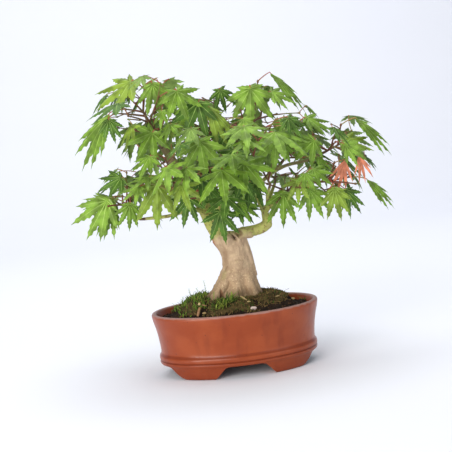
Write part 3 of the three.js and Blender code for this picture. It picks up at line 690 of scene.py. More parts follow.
class Growth:
    """All the sticks and leaves that have grown so far, and the tests for room among them."""

    def __init__(self) -> None:
        """Starts with nothing grown."""
        self.limbs: list[Stick] = []
        self.sticks: list[Stick] = []
        self.leaves: list[Leaf] = []
        self.twigs: list[Twig] = []

    @staticmethod
    def nearness(stick: Stick, sticks: Sequence[Stick]) -> Array:
        """Measures how near a stick comes to others.

        Args:
            stick: The stick.
            sticks: The others. Those of the stick's own limb or mass don't count.

        Returns:
            The free space to each, in millimetres.
        """
        others = [other for other in sticks if other.owner != stick.owner]
        starts = np.array([other.start for other in others])
        v = np.array([other.end for other in others]) - starts
        u, w = stick.end - stick.start, stick.start - starts
        uu, vv = max(float(u @ u), 1e-12), np.maximum((v * v).sum(axis=1), 1e-12)
        uv, uw, vw = v @ u, w @ u, (v * w).sum(axis=1)
        scale = uu * vv - uv * uv
        safe = np.where(scale > 1e-9, scale, 1.0)
        s = np.where(scale > 1e-9, np.clip((uv * vw - vv * uw) / safe, 0, 1), 0)
        t = np.clip((uv * s + vw) / vv, 0, 1)
        s = np.clip((uv * t - uw) / uu, 0, 1)
        apart = np.linalg.norm(w + np.outer(s, u) - v * t[:, None], axis=1)
        return apart - np.array([other.radius for other in others]) - stick.radius

    def line_is_clear(self, stick: Stick, more: Sequence[Leaf] = ()) -> bool:
        """Tells whether a stick keeps clear of every leaf that has grown, and of more of them."""
        return not any(stick.meets(leaf, CLEARANCE + stick.radius) for leaf in (*self.leaves, *more))

    def leaf_fits(self, leaf: Leaf, mass: Mass, extra: Stick, pair: Sequence[Leaf]) -> bool:
        """Tells whether a leaf and its petiole find room.

        Args:
            leaf: The leaf.
            mass: The mass that it belongs to.
            extra: The twig that bears it, which hasn't been added yet.
            pair: The other leaf of its pair, if it has grown.

        Returns:
            True where they do.
        """
        if unit(leaf.base - leaf.node) @ leaf.along < FOLDED_BACK or out_of_reach(leaf, mass) > 1:
            return False
        petiole = leaf.petiole()
        if (self.nearness(petiole, self.sticks) < CLEARANCE).any() or not self.line_is_clear(petiole, pair):
            return False
        near = [(float(np.linalg.norm(leaf.base - other.base)), other) for other in (*self.leaves, *pair)]
        near = [(apart, other) for apart, other in near if apart < (leaf.length + other.length) * LEAF_SPAN]
        for _, other in sorted(near, key=lambda entry: entry[0]):
            if lines_meet_triangles(other.lines(), leaf.shell(CLEARANCE)):
                return False
        return not any(stick.meets(leaf, CLEARANCE + stick.radius) for stick in (*self.sticks, extra))

    def crossed(self, leaf: Leaf, twig: Stick) -> list[Leaf]:
        """Lists the leaves that a new leaf, its petiole or its twig would meet.

        Args:
            leaf: The new leaf.
            twig: Its twig.

        Returns:
            The leaves.
        """
        lines = np.concatenate([leaf.petiole().line(), twig.line()])
        run = float(np.linalg.norm(twig.end - twig.start))
        found = []
        for other in self.leaves:
            if np.linalg.norm(other.base - leaf.base) > (other.length + leaf.length) * LEAF_SPAN + run:
                continue
            if (
                lines_meet_triangles(other.lines(), leaf.shell(CLEARANCE))
                or lines_meet_triangles(lines, other.shell(CLEARANCE + TWIG_RADIUS))
                or lines_meet_triangles(other.petiole().line(), leaf.shell(CLEARANCE + PETIOLE_RADIUS))
            ):
                found.append(other)
        return found

    def leave_out(self, leaves: Sequence[Leaf], bare: Callable[[Twig], bool]) -> None:
        """Takes leaves off again, and the twigs that then bear nothing, unless they may stay bare.

        Args:
            leaves: The leaves.
            bare: Tells whether a twig may stay without leaves.
        """
        gone = {id(leaf) for leaf in leaves}
        twigs, self.twigs, self.leaves, self.sticks = self.twigs, [], [], list(self.limbs)
        for twig in twigs:
            kept = tuple(leaf for leaf in twig.leaves if id(leaf) not in gone)
            if kept or bare(twig):
                self.add(replace(twig, leaves=kept))

    def add(self, twig: Twig) -> None:
        """Adds a twig with its leaves, which form the next spray."""
        for leaf in twig.leaves:
            leaf.spray = len(self.twigs)
        self.twigs.append(twig)
        self.sticks += [twig.stick(), *(leaf.petiole() for leaf in twig.leaves)]
        self.leaves += twig.leaves


def out_of_reach(leaf: Leaf, mass: Mass) -> float:
    """Measures a leaf's furthest corner from the middle of a mass, where 1 is the edge of its reach."""
    far = (leaf.corners() - np.array(mass.centre)) / (np.array(mass.spread) + REACH)
    return float(np.linalg.norm(far, axis=1).max())


def turned_about(vector: Array, axis: Array, angle: float) -> Array:
    """Turns a vector about an axis of length 1."""
    along = axis * (axis @ vector) * (1 - math.cos(angle))
    return vector * math.cos(angle) + np.cross(axis, vector) * math.sin(angle) + along


@dataclass(frozen=True)
class FineTwigs:
    """The finer twigs that the scene adds to the rule: where they leave, and the size of what they bear."""

    places: tuple[float, ...] = (0.45, 0.8)
    length: tuple[float, float] = (14, 26)
    leaf: tuple[float, float] = (0.58, 0.84)
    tries: int = 6
    first_seed: int = 500000
    parent: float = 8


@dataclass(frozen=True)
class Accent:
    """A leaf that stands out in the photograph: the pixels of its hub and tip, its depth and its form."""

    hub: tuple[float, float]
    tip: tuple[float, float]
    y: float
    facing: Triple
    length: float
    spread: float = 0.8
    dip: float = -3
    droop: float = 0.16


ACCENTS = [
    Accent((130, 82), (92, 106), -10, (-0.35, -0.7, 0.75), 44, 0.8),
    Accent((152, 84), (160, 116), -16, (0.1, -1, 0.35), 34, 0.7),
    Accent((107, 117), (72, 168), -6, (-0.8, -0.6, 0.2), 56, 0.3),
    Accent((109, 120), (114, 142), -12, (-0.2, -1, 0.2), 25, 0.55),
    Accent((152, 133), (136, 157), -26, (-0.1, -1, 0.25), 32, 1.0),
    Accent((198, 103), (186, 136), -34, (-0.05, -1, 0.3), 38, 0.8),
    Accent((210, 108), (231, 144), -30, (0.35, -1, 0.1), 40, 0.45),
    Accent((200, 142), (206, 180), -44, (0.05, -1, 0.2), 40, 0.9),
    Accent((157, 185), (158, 228), -34, (0, -1, 0.3), 42, 0.85),
    Accent((121, 178), (99, 188), -14, (-0.2, -0.9, 0.5), 26, 0.9),
    Accent((107, 201), (82, 240), -16, (-0.35, -1, 0.3), 44, 0.6),
    Accent((112, 201), (102, 245), -12, (0, -1, 0.3), 42, 0.3),
    Accent((112, 199), (76, 206), -6, (-0.2, -0.7, 0.9), 36, 0.55),
    Accent((130, 204), (128, 230), -20, (0.1, -1, 0.3), 27, 0.7),
    Accent((188, 198), (184, 226), -26, (0, -1, 0.3), 29, 0.8),
    Accent((208, 190), (213, 210), -42, (0, -1, 0.4), 23, 0.9),
    Accent((220, 212), (227, 242), -24, (0, -1, 0.35), 32, 0.85),
    Accent((164, 88), (174, 108), -6, (0.3, -1, 0.4), 26, 0.6),
    Accent((220, 90), (226, 104), 6, (0.1, -0.8, 0.8), 24, 0.9),
    Accent((250, 89), (253, 128), -20, (0, -1, 0.3), 40, 0.8),
    Accent((272, 92), (294, 100), -12, (0.25, -0.7, 0.8), 28, 0.8),
    Accent((273, 75), (313, 108), 12, (0.55, -0.5, 0.75), 50, 0.3),
    Accent((307, 118), (334, 127), -8, (0.3, -0.6, 0.9), 31, 0.8),
    Accent((277, 138), (256, 163), -42, (-0.1, -1, 0.3), 37, 0.9),
    Accent((281, 142), (299, 156), -32, (0.2, -1, 0.5), 26, 0.8),
    Accent((344, 141), (376, 146), -12, (0.25, -0.8, 0.65), 32, 0.8),
    Accent((345, 145), (371, 163), -20, (0.2, -1, 0.4), 30, 0.5),
    Accent((358, 120), (394, 148), -4, (0.45, -0.5, 0.8), 46, 0.3),
    Accent((335, 189), (341, 222), -22, (0.1, -1, 0.3), 34, 0.6),
    Accent((346, 190), (364, 214), -12, (0.35, -0.9, 0.5), 31, 0.5),
    Accent((369, 181), (398, 205), -6, (0.3, -0.5, 0.9), 38, 0.3),
    Accent((283, 193), (284, 227), -20, (0.05, -1, 0.3), 35, 0.65),
    Accent((309, 189), (323, 220), -16, (0.1, -1, 0.35), 34, 0.6),
    Accent((298, 181), (299, 200), -30, (0, -1, 0.35), 23, 0.8),
    Accent((243, 175), (238, 194), -44, (0, -1, 0.45), 26, 1.0),
    Accent((240, 203), (255, 212), -32, (0.2, -1, 0.5), 24, 0.9),
    Accent((314, 141), (297, 160), -28, (0, -1, 0.4), 29, 0.8),
]

@dataclass(frozen=True)
class Marking:
    """How the leaves that stand out are tried, and how near others may come in front of them."""

    tries: int = 14
    first_seed: int = 700000
    cost: float = 0.35
    overlap: float = -0.3
    covered: float = 0.42
    covered_by_fine: float = 0.5
    middle: float = 0.3
    depth_slack: float = 2
    young_clear: float = 1.8


class Crown:
    """Grows the twigs and leaves of all the masses."""

    def __init__(self, boughs: dict[str, Bough], masses: dict[str, Mass], fine: FineTwigs) -> None:
        """Takes the plant's tables.

        Args:
            boughs: The boughs by name.
            masses: The masses of leaves by name.
            fine: The finer twigs.
        """
        self.masses = masses
        self.fine = fine
        self.paths = {name: bough_path(bough) for name, bough in boughs.items()}
        self.stems: dict[str, Array] = {}
        self.growth = Growth()
        self.view = View()
        self.sky = Sky()
        self.marking = Marking()
        self.marked: list[Leaf] = []

    def stem_of(self, mass: Mass) -> Array:
        """Gives the three points of a mass's stem.

        Args:
            mass: The mass.

        Returns:
            Its start clear of the bough's tip, its bend and its end.
        """
        points, _ = self.paths[mass.bough]
        along = unit(points[-1] - points[-2])
        return np.array([points[-1] + along * GAP, points[-1] + along * STEM_BEND, mass.centre])

    @staticmethod
    def root_on_stem(stem: Array, end: Array) -> Array:
        """Finds where a twig leaves the stem, short of the point abreast of the twig's end.

        Args:
            stem: The stem's points.
            end: The twig's end.

        Returns:
            The point on the stem.
        """
        length = float(np.linalg.norm(stem[2] - stem[1]))
        axis, offset = unit(stem[2] - stem[1]), end - stem[1]
        abreast = float(offset @ axis)
        aside = math.sqrt(max(float(offset @ offset) - abreast * abreast, 0))
        first, last = TWIG_PLACES
        return stem[1] + axis * min(max(abreast - TWIG_LEAD * aside, first * length), last * length)

    @staticmethod
    def twig_end(mass: Mass, node: int, draw: Draw) -> Array:
        """Places the end of a twig in its mass.

        Args:
            mass: The mass.
            node: The number of the twig.
            draw: The run of numbers.

        Returns:
            The point.
        """
        height = 1 - (2 * (node + 0.5)) / mass.nodes
        turn = GOLDEN_TURN * node + mass.seed + TWIG_TURN * (draw() - 0.5)
        flat = math.sqrt(max(1 - height * height, 0))
        away = np.array([flat * math.cos(turn), flat * math.sin(turn), height])
        return np.array(mass.centre) + np.array(mass.spread) * between(TWIG_REACH, draw()) * away

    @staticmethod
    def leaf_at(twig: Twig, side: int, draw: Draw, attempt: int, scale: float = 1.0) -> Leaf:
        """Makes a leaf on its petiole, at one side of a twig's end.

        Args:
            twig: The twig.
            side: -1 or 1.
            draw: The run of numbers.
            attempt: How many tries have failed.
            scale: The leaf's size against the rule's.

        Returns:
            The leaf.
        """
        axis = unit(twig.end - twig.root)
        swing = (draw() - 0.5) * (LEAF_SWING + SWING_PER_TRY * attempt)
        level = turned_about(unit(np.cross(axis, UP)), axis, swing)
        slant = between(PETIOLE_SLANT, draw())
        petiole = unit(axis * math.cos(slant) + level * side * math.sin(slant) + UP * PETIOLE_LIFT)
        base = twig.end + petiole * between(PETIOLE_LENGTH, draw()) * scale
        length = between(LEAF_LENGTH, draw()) * (1 - SHRINK_PER_TRY * attempt) * scale
        out = unit((base - np.array(CROWN_MIDDLE)) * np.array([1, 1.3, 1]))
        along = np.array([out[0] * 0.7, out[1] * 0.7, -between(LEAF_HANG, draw())]) + petiole * 0.4
        along[:2] += LEAF_SPLAY * off_middle(draw, 2)
        facing = np.array([out[0] * 0.6, out[1] * 0.9 - 0.2, 0.6 + 0.5 * out[2]])
        facing[:2] += LEAF_TILT * off_middle(draw, 2)
        droop = between(LEAF_DROOP, draw())
        return Leaf(twig.end, base, unit(along), facing, length, droop, twig.mass, fine=twig.fine)

    def try_twig(self, twig: Twig, seed: int, tries: int, scale: float = 1.0) -> bool:
        """Adds a twig if it and one or both of the leaves at its end find room.

        Args:
            twig: The twig, without leaves.
            seed: Its seed.
            tries: How many tries each leaf has.
            scale: The leaves' size against the rule's.

        Returns:
            True where it was added.
        """
        stick, pair = twig.stick(), []
        if (self.growth.nearness(stick, self.growth.sticks) < CLEARANCE).any():
            return False
        if not self.growth.line_is_clear(stick):
            return False
        for side in (-1, 1):
            for attempt in range(tries):
                draw = drawing(seed + LEAF_SEEDS + SIDE_SEEDS * side + attempt)
                leaf = self.leaf_at(twig, side, draw, attempt, scale)
                if twig.fine and self.hides(leaf):
                    continue
                if self.growth.leaf_fits(leaf, self.masses[twig.mass], stick, pair):
                    pair.append(leaf)
                    break
        if pair:
            self.growth.add(replace(twig, leaves=tuple(pair)))
        return bool(pair)

    def grow_mass(self, name: str) -> None:
        """Grows the twigs and leaves of the mass of a name."""
        mass = self.masses[name]
        for node in range(mass.nodes):
            for attempt in range(TRIES):
                seed = mass.seed * MASS_SEEDS + node * NODE_SEEDS + attempt * TRY_SEEDS
                end = self.twig_end(mass, node, drawing(seed))
                if self.try_twig(Twig(name, self.root_on_stem(self.stems[name], end), end), seed, TRIES):
                    break

    def grow_young(self) -> None:
        """Grows the young leaves, which hang from the end of one stem."""
        facing = np.array(YOUNG_FACING, dtype=float)
        for young in YOUNG_LEAVES:
            base = np.array(young.at, dtype=float)
            node, along = base + np.array(young.start), unit(np.array(young.along))
            leaf = Leaf(node, base, along, facing, young.length, YOUNG_DROOP, YOUNG_MASS)
            leaf.clear = self.marking.young_clear
            self.growth.add(Twig(YOUNG_MASS, self.stems[YOUNG_MASS][2], node, (leaf,)))

    def may_be_bare(self, twig: Twig) -> bool:
        """Tells whether a twig may stay without leaves: where it shows inside the crown's outline."""
        return self.sky.inside(self.view.pixels(np.array([twig.end])))[0]

    def in_front(self, leaf: Leaf, share: float) -> bool:
        """Tells whether a leaf would hide one of those that stand out.

        Args:
            leaf: The leaf.
            share: How near the middles come, as a share of the marked leaf's length.

        Returns:
            True where it would.
        """
        if not self.marked:
            return False
        lengths = np.array([other.length * other.clear for other in (leaf, *self.marked)])
        hubs = np.array([other.hub for other in (leaf, *self.marked)])
        ways = np.array([other.along for other in (leaf, *self.marked)])
        middles = hubs + ways * (lengths * self.marking.middle)[:, None]
        pixels = self.view.pixels(middles)
        apart = np.linalg.norm(pixels[1:] - pixels[0], axis=1)
        away = np.linalg.norm(middles - self.view.eye(), axis=1)
        return bool(((apart < share * lengths[1:]) & (away[0] < away[1:] + self.marking.depth_slack)).any())

    def hides(self, leaf: Leaf) -> bool:
        """Tells whether a smaller leaf would hide the sky or a leaf that stands out."""
        return self.sky.shows(leaf, self.view) or self.in_front(leaf, self.marking.covered_by_fine)

    def accent_leaf(self, accent: Accent, draw: Draw, attempt: int) -> tuple[Leaf, Stick]:
        """Makes one of the leaves that stand out, with its twig from the nearest mass's stem.

        Args:
            accent: The leaf's table entry.
            draw: The run of numbers.
            attempt: How many tries came before.

        Returns:
            The leaf and the twig.
        """
        y = accent.y + 1.6 * attempt * (draw() - 0.5)
        shift = off_middle(draw, 2) * attempt * 0.3
        hub = self.view.point(np.array(accent.hub) + shift, y)
        along = unit(self.view.point(np.array(accent.tip) + shift, y + accent.dip) - hub)
        length = accent.length * (1 - 0.008 * attempt)
        base = hub - along * HUB * length
        facing = np.array(accent.facing) + 0.2 * off_middle(draw, 3)
        leaf = Leaf(base, base, along, facing, length, accent.droop, spread=accent.spread)
        leaf.mass = min(self.masses, key=lambda name: out_of_reach(leaf, self.masses[name]))
        stem = self.stems[leaf.mass]
        inward = unit(self.root_on_stem(stem, base) - base)
        back = unit(inward * 0.8 - along * 0.45 + UP * 0.1 + leaf.normal * -0.25)
        leaf.node = base + back * min(14, length * 0.35)
        return leaf, Twig(leaf.mass, self.root_on_stem(stem, leaf.node), leaf.node).stick()

    def best_try(self, number: int, accent: Accent, limbs: Array) -> tuple[Leaf, Stick, list[Leaf]] | None:
        """Tries a leaf that stands out near its place, and keeps the try that meets the fewest others.

        Args:
            number: The leaf's place in the table.
            accent: Its table entry.
            limbs: The lines of the limbs and stems.

        Returns:
            The leaf, its twig and the leaves that they meet, or None without room.
        """
        best, least = None, math.inf
        for attempt in range(self.marking.tries):
            draw = drawing(self.marking.first_seed + number * NODE_SEEDS + attempt * TRY_SEEDS)
            leaf, stick = self.accent_leaf(accent, draw, attempt)
            if lines_meet_triangles(limbs, leaf.shell(CLEARANCE)):
                continue
            wood = [self.growth.nearness(one, self.growth.limbs).min() for one in (leaf.petiole(), stick)]
            if min(wood) < self.marking.overlap:
                continue
            crossed = self.growth.crossed(leaf, stick)
            cost = len(crossed) + self.marking.cost * attempt
            if cost < least and not any(other is one for other in crossed for one in self.marked):
                best, least = (leaf, stick, crossed), cost
        return best

    def grow_accents(self) -> None:
        """Grows the leaves that stand out in the photograph, in place of the leaves that they would meet."""
        self.marked = list(self.growth.leaves[: len(YOUNG_LEAVES)])
        limbs = np.concatenate([limb.line() for limb in self.growth.limbs])
        for number, accent in enumerate(ACCENTS):
            best = self.best_try(number, accent, limbs)
            if best is None:
                log.info("no room for the leaf at %s", accent.hub)
                continue
            leaf, stick, crossed = best
            self.growth.leave_out(crossed, self.may_be_bare)
            self.growth.add(Twig(leaf.mass, stick.start, leaf.node, (leaf,)))
            self.marked.append(leaf)
        chosen = {id(leaf) for leaf in self.marked}
        others = [leaf for leaf in self.growth.leaves if id(leaf) not in chosen]
        hiding = [leaf for leaf in others if self.in_front(leaf, self.marking.covered)]
        log.info("crown: %d leaves left out in front of those that stand out", len(hiding))
        self.growth.leave_out(hiding, self.may_be_bare)

    def grow_fine(self) -> None:
        """Grows finer twigs with smaller leaves from the twigs, wherever they find room."""
        fine = self.fine
        long = [twig for twig in self.growth.twigs if np.linalg.norm(twig.end - twig.root) > fine.parent]
        for number, parent in enumerate(long):
            run = parent.end - parent.root
            for place, share in enumerate(fine.places):
                root = parent.root + run * share
                first = fine.first_seed + number * MASS_SEEDS + place * NODE_SEEDS * 5
                for attempt in range(fine.tries):
                    seed = first + attempt * TRY_SEEDS
                    draw = drawing(seed)
                    away = unit(np.array([draw() - 0.5, draw() - 0.5, (draw() - 0.4) * 0.7]))
                    end = root + unit(unit(run) * 0.6 + away) * between(fine.length, draw())
                    scale = between(fine.leaf, draw())
                    if self.try_twig(Twig(parent.mass, root, end, fine=True), seed, fine.tries, scale):
                        break

    def grow(self) -> None:
        """Grows the whole crown, in the order of the table of masses."""
        foot = np.array([[section.x, 0, section.z] for section in TRUNK_SECTIONS], dtype=float)
        limbs = {"trunk": (foot, np.array([section.half_width for section in TRUNK_SECTIONS]))} | self.paths
        growth = self.growth
        for name, (points, radii) in limbs.items():
            growth.limbs += [Stick(name, *ends) for ends in zip(points, points[1:], radii.tolist())]
        for name, mass in self.masses.items():
            stem = self.stems[name] = self.stem_of(mass)
            growth.limbs += [Stick(name, *ends, STEM_RADIUS) for ends in zip(stem, stem[1:])]
        growth.sticks = list(growth.limbs)
        self.grow_young()
        for name in self.masses:
            self.grow_mass(name)
        hiding = [leaf for leaf in growth.leaves[len(YOUNG_LEAVES) :] if self.sky.shows(leaf, self.view)]
        log.info("crown: %d leaves left out for the sky", len(hiding))
        growth.leave_out(hiding, self.may_be_bare)
        self.grow_accents()
        coarse, marked = len(growth.leaves), len(self.marked) - len(YOUNG_LEAVES)
        self.grow_fine()
        fine = len(growth.leaves) - coarse
        log.info("crown: %d leaves by the rule, %d marked, %d on finer twigs", coarse - marked, marked, fine)


# Finishes


def linear(colour: Colour) -> tuple[float, ...]:
    """Turns a screen colour from 0 to 255 into the linear red, green, blue and 1 of a shader."""
    shares = [value / 255 for value in colour]
    return (*(v / 12.92 if v <= 0.04045 else ((v + 0.055) / 1.055) ** 2.4 for v in shares), 1.0)


class Recipe:
    """A material under construction, with short ways to add its nodes."""

    def __init__(self, name: str, roughness: float, specular: float = 0.5) -> None:
        """Starts a material with one principled shader.

        Args:
            name: The material's name.
            roughness: The shader's roughness.
            specular: The shader's specular level.
        """
        self.material = bpy.data.materials.new(name)
        self.material.use_nodes = True
        self.tree = self.material.node_tree
        self.shader = self.tree.nodes["Principled BSDF"].inputs
        self.shader["Roughness"].default_value = roughness
        self.shader["Specular IOR Level"].default_value = specular
        self.place = self.add("TexCoord", {}, "Object")

    def plug(self, value: object, socket: Socket) -> None:
        """Links an output to a socket, or sets the socket to a number, vector or colour."""
        if isinstance(value, Socket):
            self.tree.links.new(value, socket)
        else:
            socket.default_value = linear(value) if socket.type == "RGBA" else value

    def add(
        self, kind: str, inputs: dict[str | int, object], output: str | int, **settings: object
    ) -> Socket:
        """Adds a node.

        Args:
            kind: Its kind.
            inputs: What its inputs are linked or set to.
            output: The output that is wanted.
            settings: Its settings.

        Returns:
            That output.
        """
        node = self.tree.nodes.new("ShaderNode" + kind)
        for key, value in settings.items():
            setattr(node, key, value)
        for key, value in inputs.items():
            self.plug(value, node.inputs[key])
        return node.outputs[output]

    def noise(
        self, size: float, detail: float = 3.0, stretch: Triple = (1, 1, 1), rough: float = 0.5
    ) -> Socket:
        """Adds noise.

        Args:
            size: The size of its largest features in metres.
            detail: Its number of finer layers.
            stretch: How far it is squeezed along each axis.
            rough: How strong the finer layers are.

        Returns:
            Its value.
        """
        scale = tuple(s / size for s in stretch)
        place = self.add("Mapping", {"Scale": scale, "Vector": self.place}, "Vector")
        inputs = {"Scale": 1.0, "Detail": detail, "Roughness": rough, "Vector": place}
        return self.add("TexNoise", inputs, "Fac")

    def height(self) -> Socket:
        """Gives the height above the ground in metres."""
        return self.add("SeparateXYZ", {"Vector": self.place}, "Z")

    def math(self, kind: str, a: object, b: object = 0.0, clamp: bool = False) -> Socket:
        """Works out a sum of two values, kept from 0 to 1 where that is asked for."""
        return self.add("Math", {0: a, 1: b}, 0, operation=kind, use_clamp=clamp)

    def plus(self, a: object, b: object) -> Socket:
        """Adds two values."""
        return self.math("ADD", a, b)

    def times(self, a: object, b: object) -> Socket:
        """Multiplies two values."""
        return self.math("MULTIPLY", a, b)

    def step(self, value: Socket, low: float, high: float) -> Socket:
        """Turns a value into 0 below one limit and 1 above another, smoothly between them."""
        limits = {"From Min": low, "From Max": high, "Value": value}
        return self.add("MapRange", limits, "Result", interpolation_type="SMOOTHSTEP")

    def below(self, value: Socket, low: float, high: float) -> Socket:
        """Turns a value into 1 below one limit and 0 above another."""
        return self.math("SUBTRACT", 1.0, self.step(value, low, high))

    def mix(self, share: object, a: object, b: object) -> Socket:
        """Mixes two colours, with a share of the second."""
        return self.add("Mix", {0: share, 6: a, 7: b}, 2, data_type="RGBA")

    def lay(self, colour: object, other: object, mask: Socket, strength: float) -> Socket:
        """Lays another colour over a colour where a mask says so."""
        return self.mix(self.times(mask, strength), colour, other)

    def spot(self, middle: Triple, radius: Triple, turn: float = 0.0) -> Socket:
        """Marks the inside of a soft-edged ellipsoid.

        Args:
            middle: Its middle in millimetres round the pot's.
            radius: Its half sizes in millimetres.
            turn: How far it is turned about the depth axis, in degrees.

        Returns:
            1 inside, 0 outside.
        """
        place = {"Location": to_frame([middle])[0].tolist(), "Rotation": (0, turn * RADIANS, 0)}
        place |= {"Scale": tuple(r * MM for r in radius), "Vector": self.place}
        inward = self.add("Mapping", place, "Vector", vector_type="TEXTURE")
        far = self.add("VectorMath", {0: inward}, "Value", operation="LENGTH")
        ragged = self.plus(far, self.times(self.noise(0.004), 0.6))
        return self.math("SUBTRACT", 1.0, self.step(ragged, 0.85, 1.35), clamp=True)

    def finished(self, colour: object, height: object, depth: float, strength: float = 1.0) -> Paint:
        """Gives the shader its colour and its bump.

        Args:
            colour: The colour.
            height: The value that the bump follows.
            depth: The depth in metres of a change of it from 0 to 1.
            strength: The bump's strength.

        Returns:
            The material.
        """
        self.plug(colour, self.shader["Base Color"])
        bump = self.add("Bump", {"Strength": strength, "Distance": depth, "Height": height}, "Normal")
        self.plug(bump, self.shader["Normal"])
        return self.material


@dataclass(frozen=True)
class PotGlaze:
    """Satin red-brown glaze with a worn, paler rim, darker towards the bottom, and painted shade in its
    grooves.
    """

    body: Colour = (143, 60, 22)
    deep: Colour = (108, 39, 15)
    light: Colour = (154, 70, 30)
    worn: Colour = (164, 134, 126)
    speck: Colour = (62, 34, 26)

    def make(self) -> Paint:
        """Builds the material."""
        recipe = Recipe("pot_glaze", 0.34, 0.3)
        z, fine = recipe.height(), recipe.noise(0.0035)
        clouds = recipe.step(recipe.noise(0.03, 4, (1, 1, 1.6)), 0.38, 0.66)
        colour = recipe.mix(clouds, self.body, self.light)
        drips = recipe.step(recipe.noise(0.012, 3, (1, 1, 0.25)), 0.5, 0.72)
        # Darker drips of glaze, and darker towards the bottom.
        for mask in (drips, recipe.below(z, 0.008, 0.02)):
            colour = recipe.lay(colour, self.deep, mask, 0.35)
        # Painted shade in the two grooves round the skirt.
        for middle, half in ((0.0144, 0.0005), (0.0198, 0.0007)):
            near = recipe.math("ABSOLUTE", recipe.math("SUBTRACT", z, middle))
            colour = recipe.lay(colour, self.deep, recipe.below(near, half, half * 2.4), 0.55)
        rim = recipe.step(recipe.plus(z, recipe.times(recipe.noise(0.006, 4), 0.0022)), 0.0552, 0.0568)
        colour = recipe.lay(colour, self.worn, rim, 0.7)
        dots = recipe.add("TexVoronoi", {"Scale": 120, "Vector": recipe.place}, "Distance")
        colour = recipe.lay(colour, self.speck, recipe.math("LESS_THAN", dots, 0.055), 0.7)
        rough = recipe.plus(recipe.plus(0.27, recipe.times(fine, 0.12)), recipe.times(rim, 0.3))
        for name, value in (("Roughness", rough), ("Coat Weight", 0.14), ("Coat Roughness", 0.18)):
            recipe.plug(value, recipe.shader[name])
        uneven = recipe.plus(recipe.noise(0.012, 2), recipe.times(fine, 0.3))
        return recipe.finished(colour, uneven, 0.0006, 0.5)


@dataclass(frozen=True)
class Skin:
    """Patches of two colours over a fine grain. As it stands it suits twigs and leaf stalks."""

    name: str
    one: Colour
    other: Colour
    patch: float = 0.012
    layers: int = 2
    limit: float = 0.4
    grain: float = 0.0012
    grain_layers: int = 2
    depth: float = 0.0002
    strength: float = 1.0
    roughness: float = 0.5
    specular: float = 0.4

    def make(self) -> Paint:
        """Builds the material."""
        recipe = Recipe(self.name, self.roughness, self.specular)
        share = recipe.step(recipe.noise(self.patch, self.layers), self.limit, 1 - self.limit)
        grain = recipe.noise(self.grain, self.grain_layers)
        return recipe.finished(recipe.mix(share, self.one, self.other), grain, self.depth, self.strength)


@dataclass(frozen=True)
class RawClay(Skin):
    """Unglazed clay inside the pot and under it, stained by soil."""

    name: str = "raw_clay"
    one: Colour = (78, 46, 32)
    other: Colour = (40, 28, 22)
    patch: float = 0.01
    layers: int = 5
    limit: float = 0.35
    grain_layers: int = 4
    depth: float = 0.0003
    roughness: float = 0.8
    specular: float = 0.3


@dataclass(frozen=True)
class LeafSkin:
    """Soft, slightly shiny leaf, in one tint with fine mottling."""

    name: str
    tint: Colour
    roughness: float = 0.5

    def make(self) -> Paint:
        """Builds the material."""
        deep = tuple(int(value * 0.82) for value in self.tint)
        pale = tuple(min(int(value * 1.1) + 3, 255) for value in self.tint)
        skin = Skin(self.name, deep, pale, 0.009, 3, 0.35, 0.0016, 3, 0.0003, 0.6, self.roughness, 0.22)
        return skin.make()


@dataclass(frozen=True)
class Earth:
    """Crumbly matter: soil, moss, stone or straw, from two colours in patches, with dark grains."""

    name: str
    one: Colour
    other: Colour
    patch: float = 0.004
    grain: float = 0.0007
    depth: float = 0.0003
    roughness: float = 0.92

    def make(self) -> Paint:
        """Builds the material."""
        recipe = Recipe(self.name, self.roughness, 0.25)
        colour = recipe.mix(recipe.step(recipe.noise(self.patch, 4), 0.36, 0.64), self.one, self.other)
        grains = recipe.noise(self.grain)
        dark = tuple(int(value * 0.45) for value in self.one)
        colour = recipe.lay(colour, dark, recipe.step(grains, 0.5, 0.75), 0.6)
        return recipe.finished(colour, grains, self.depth)


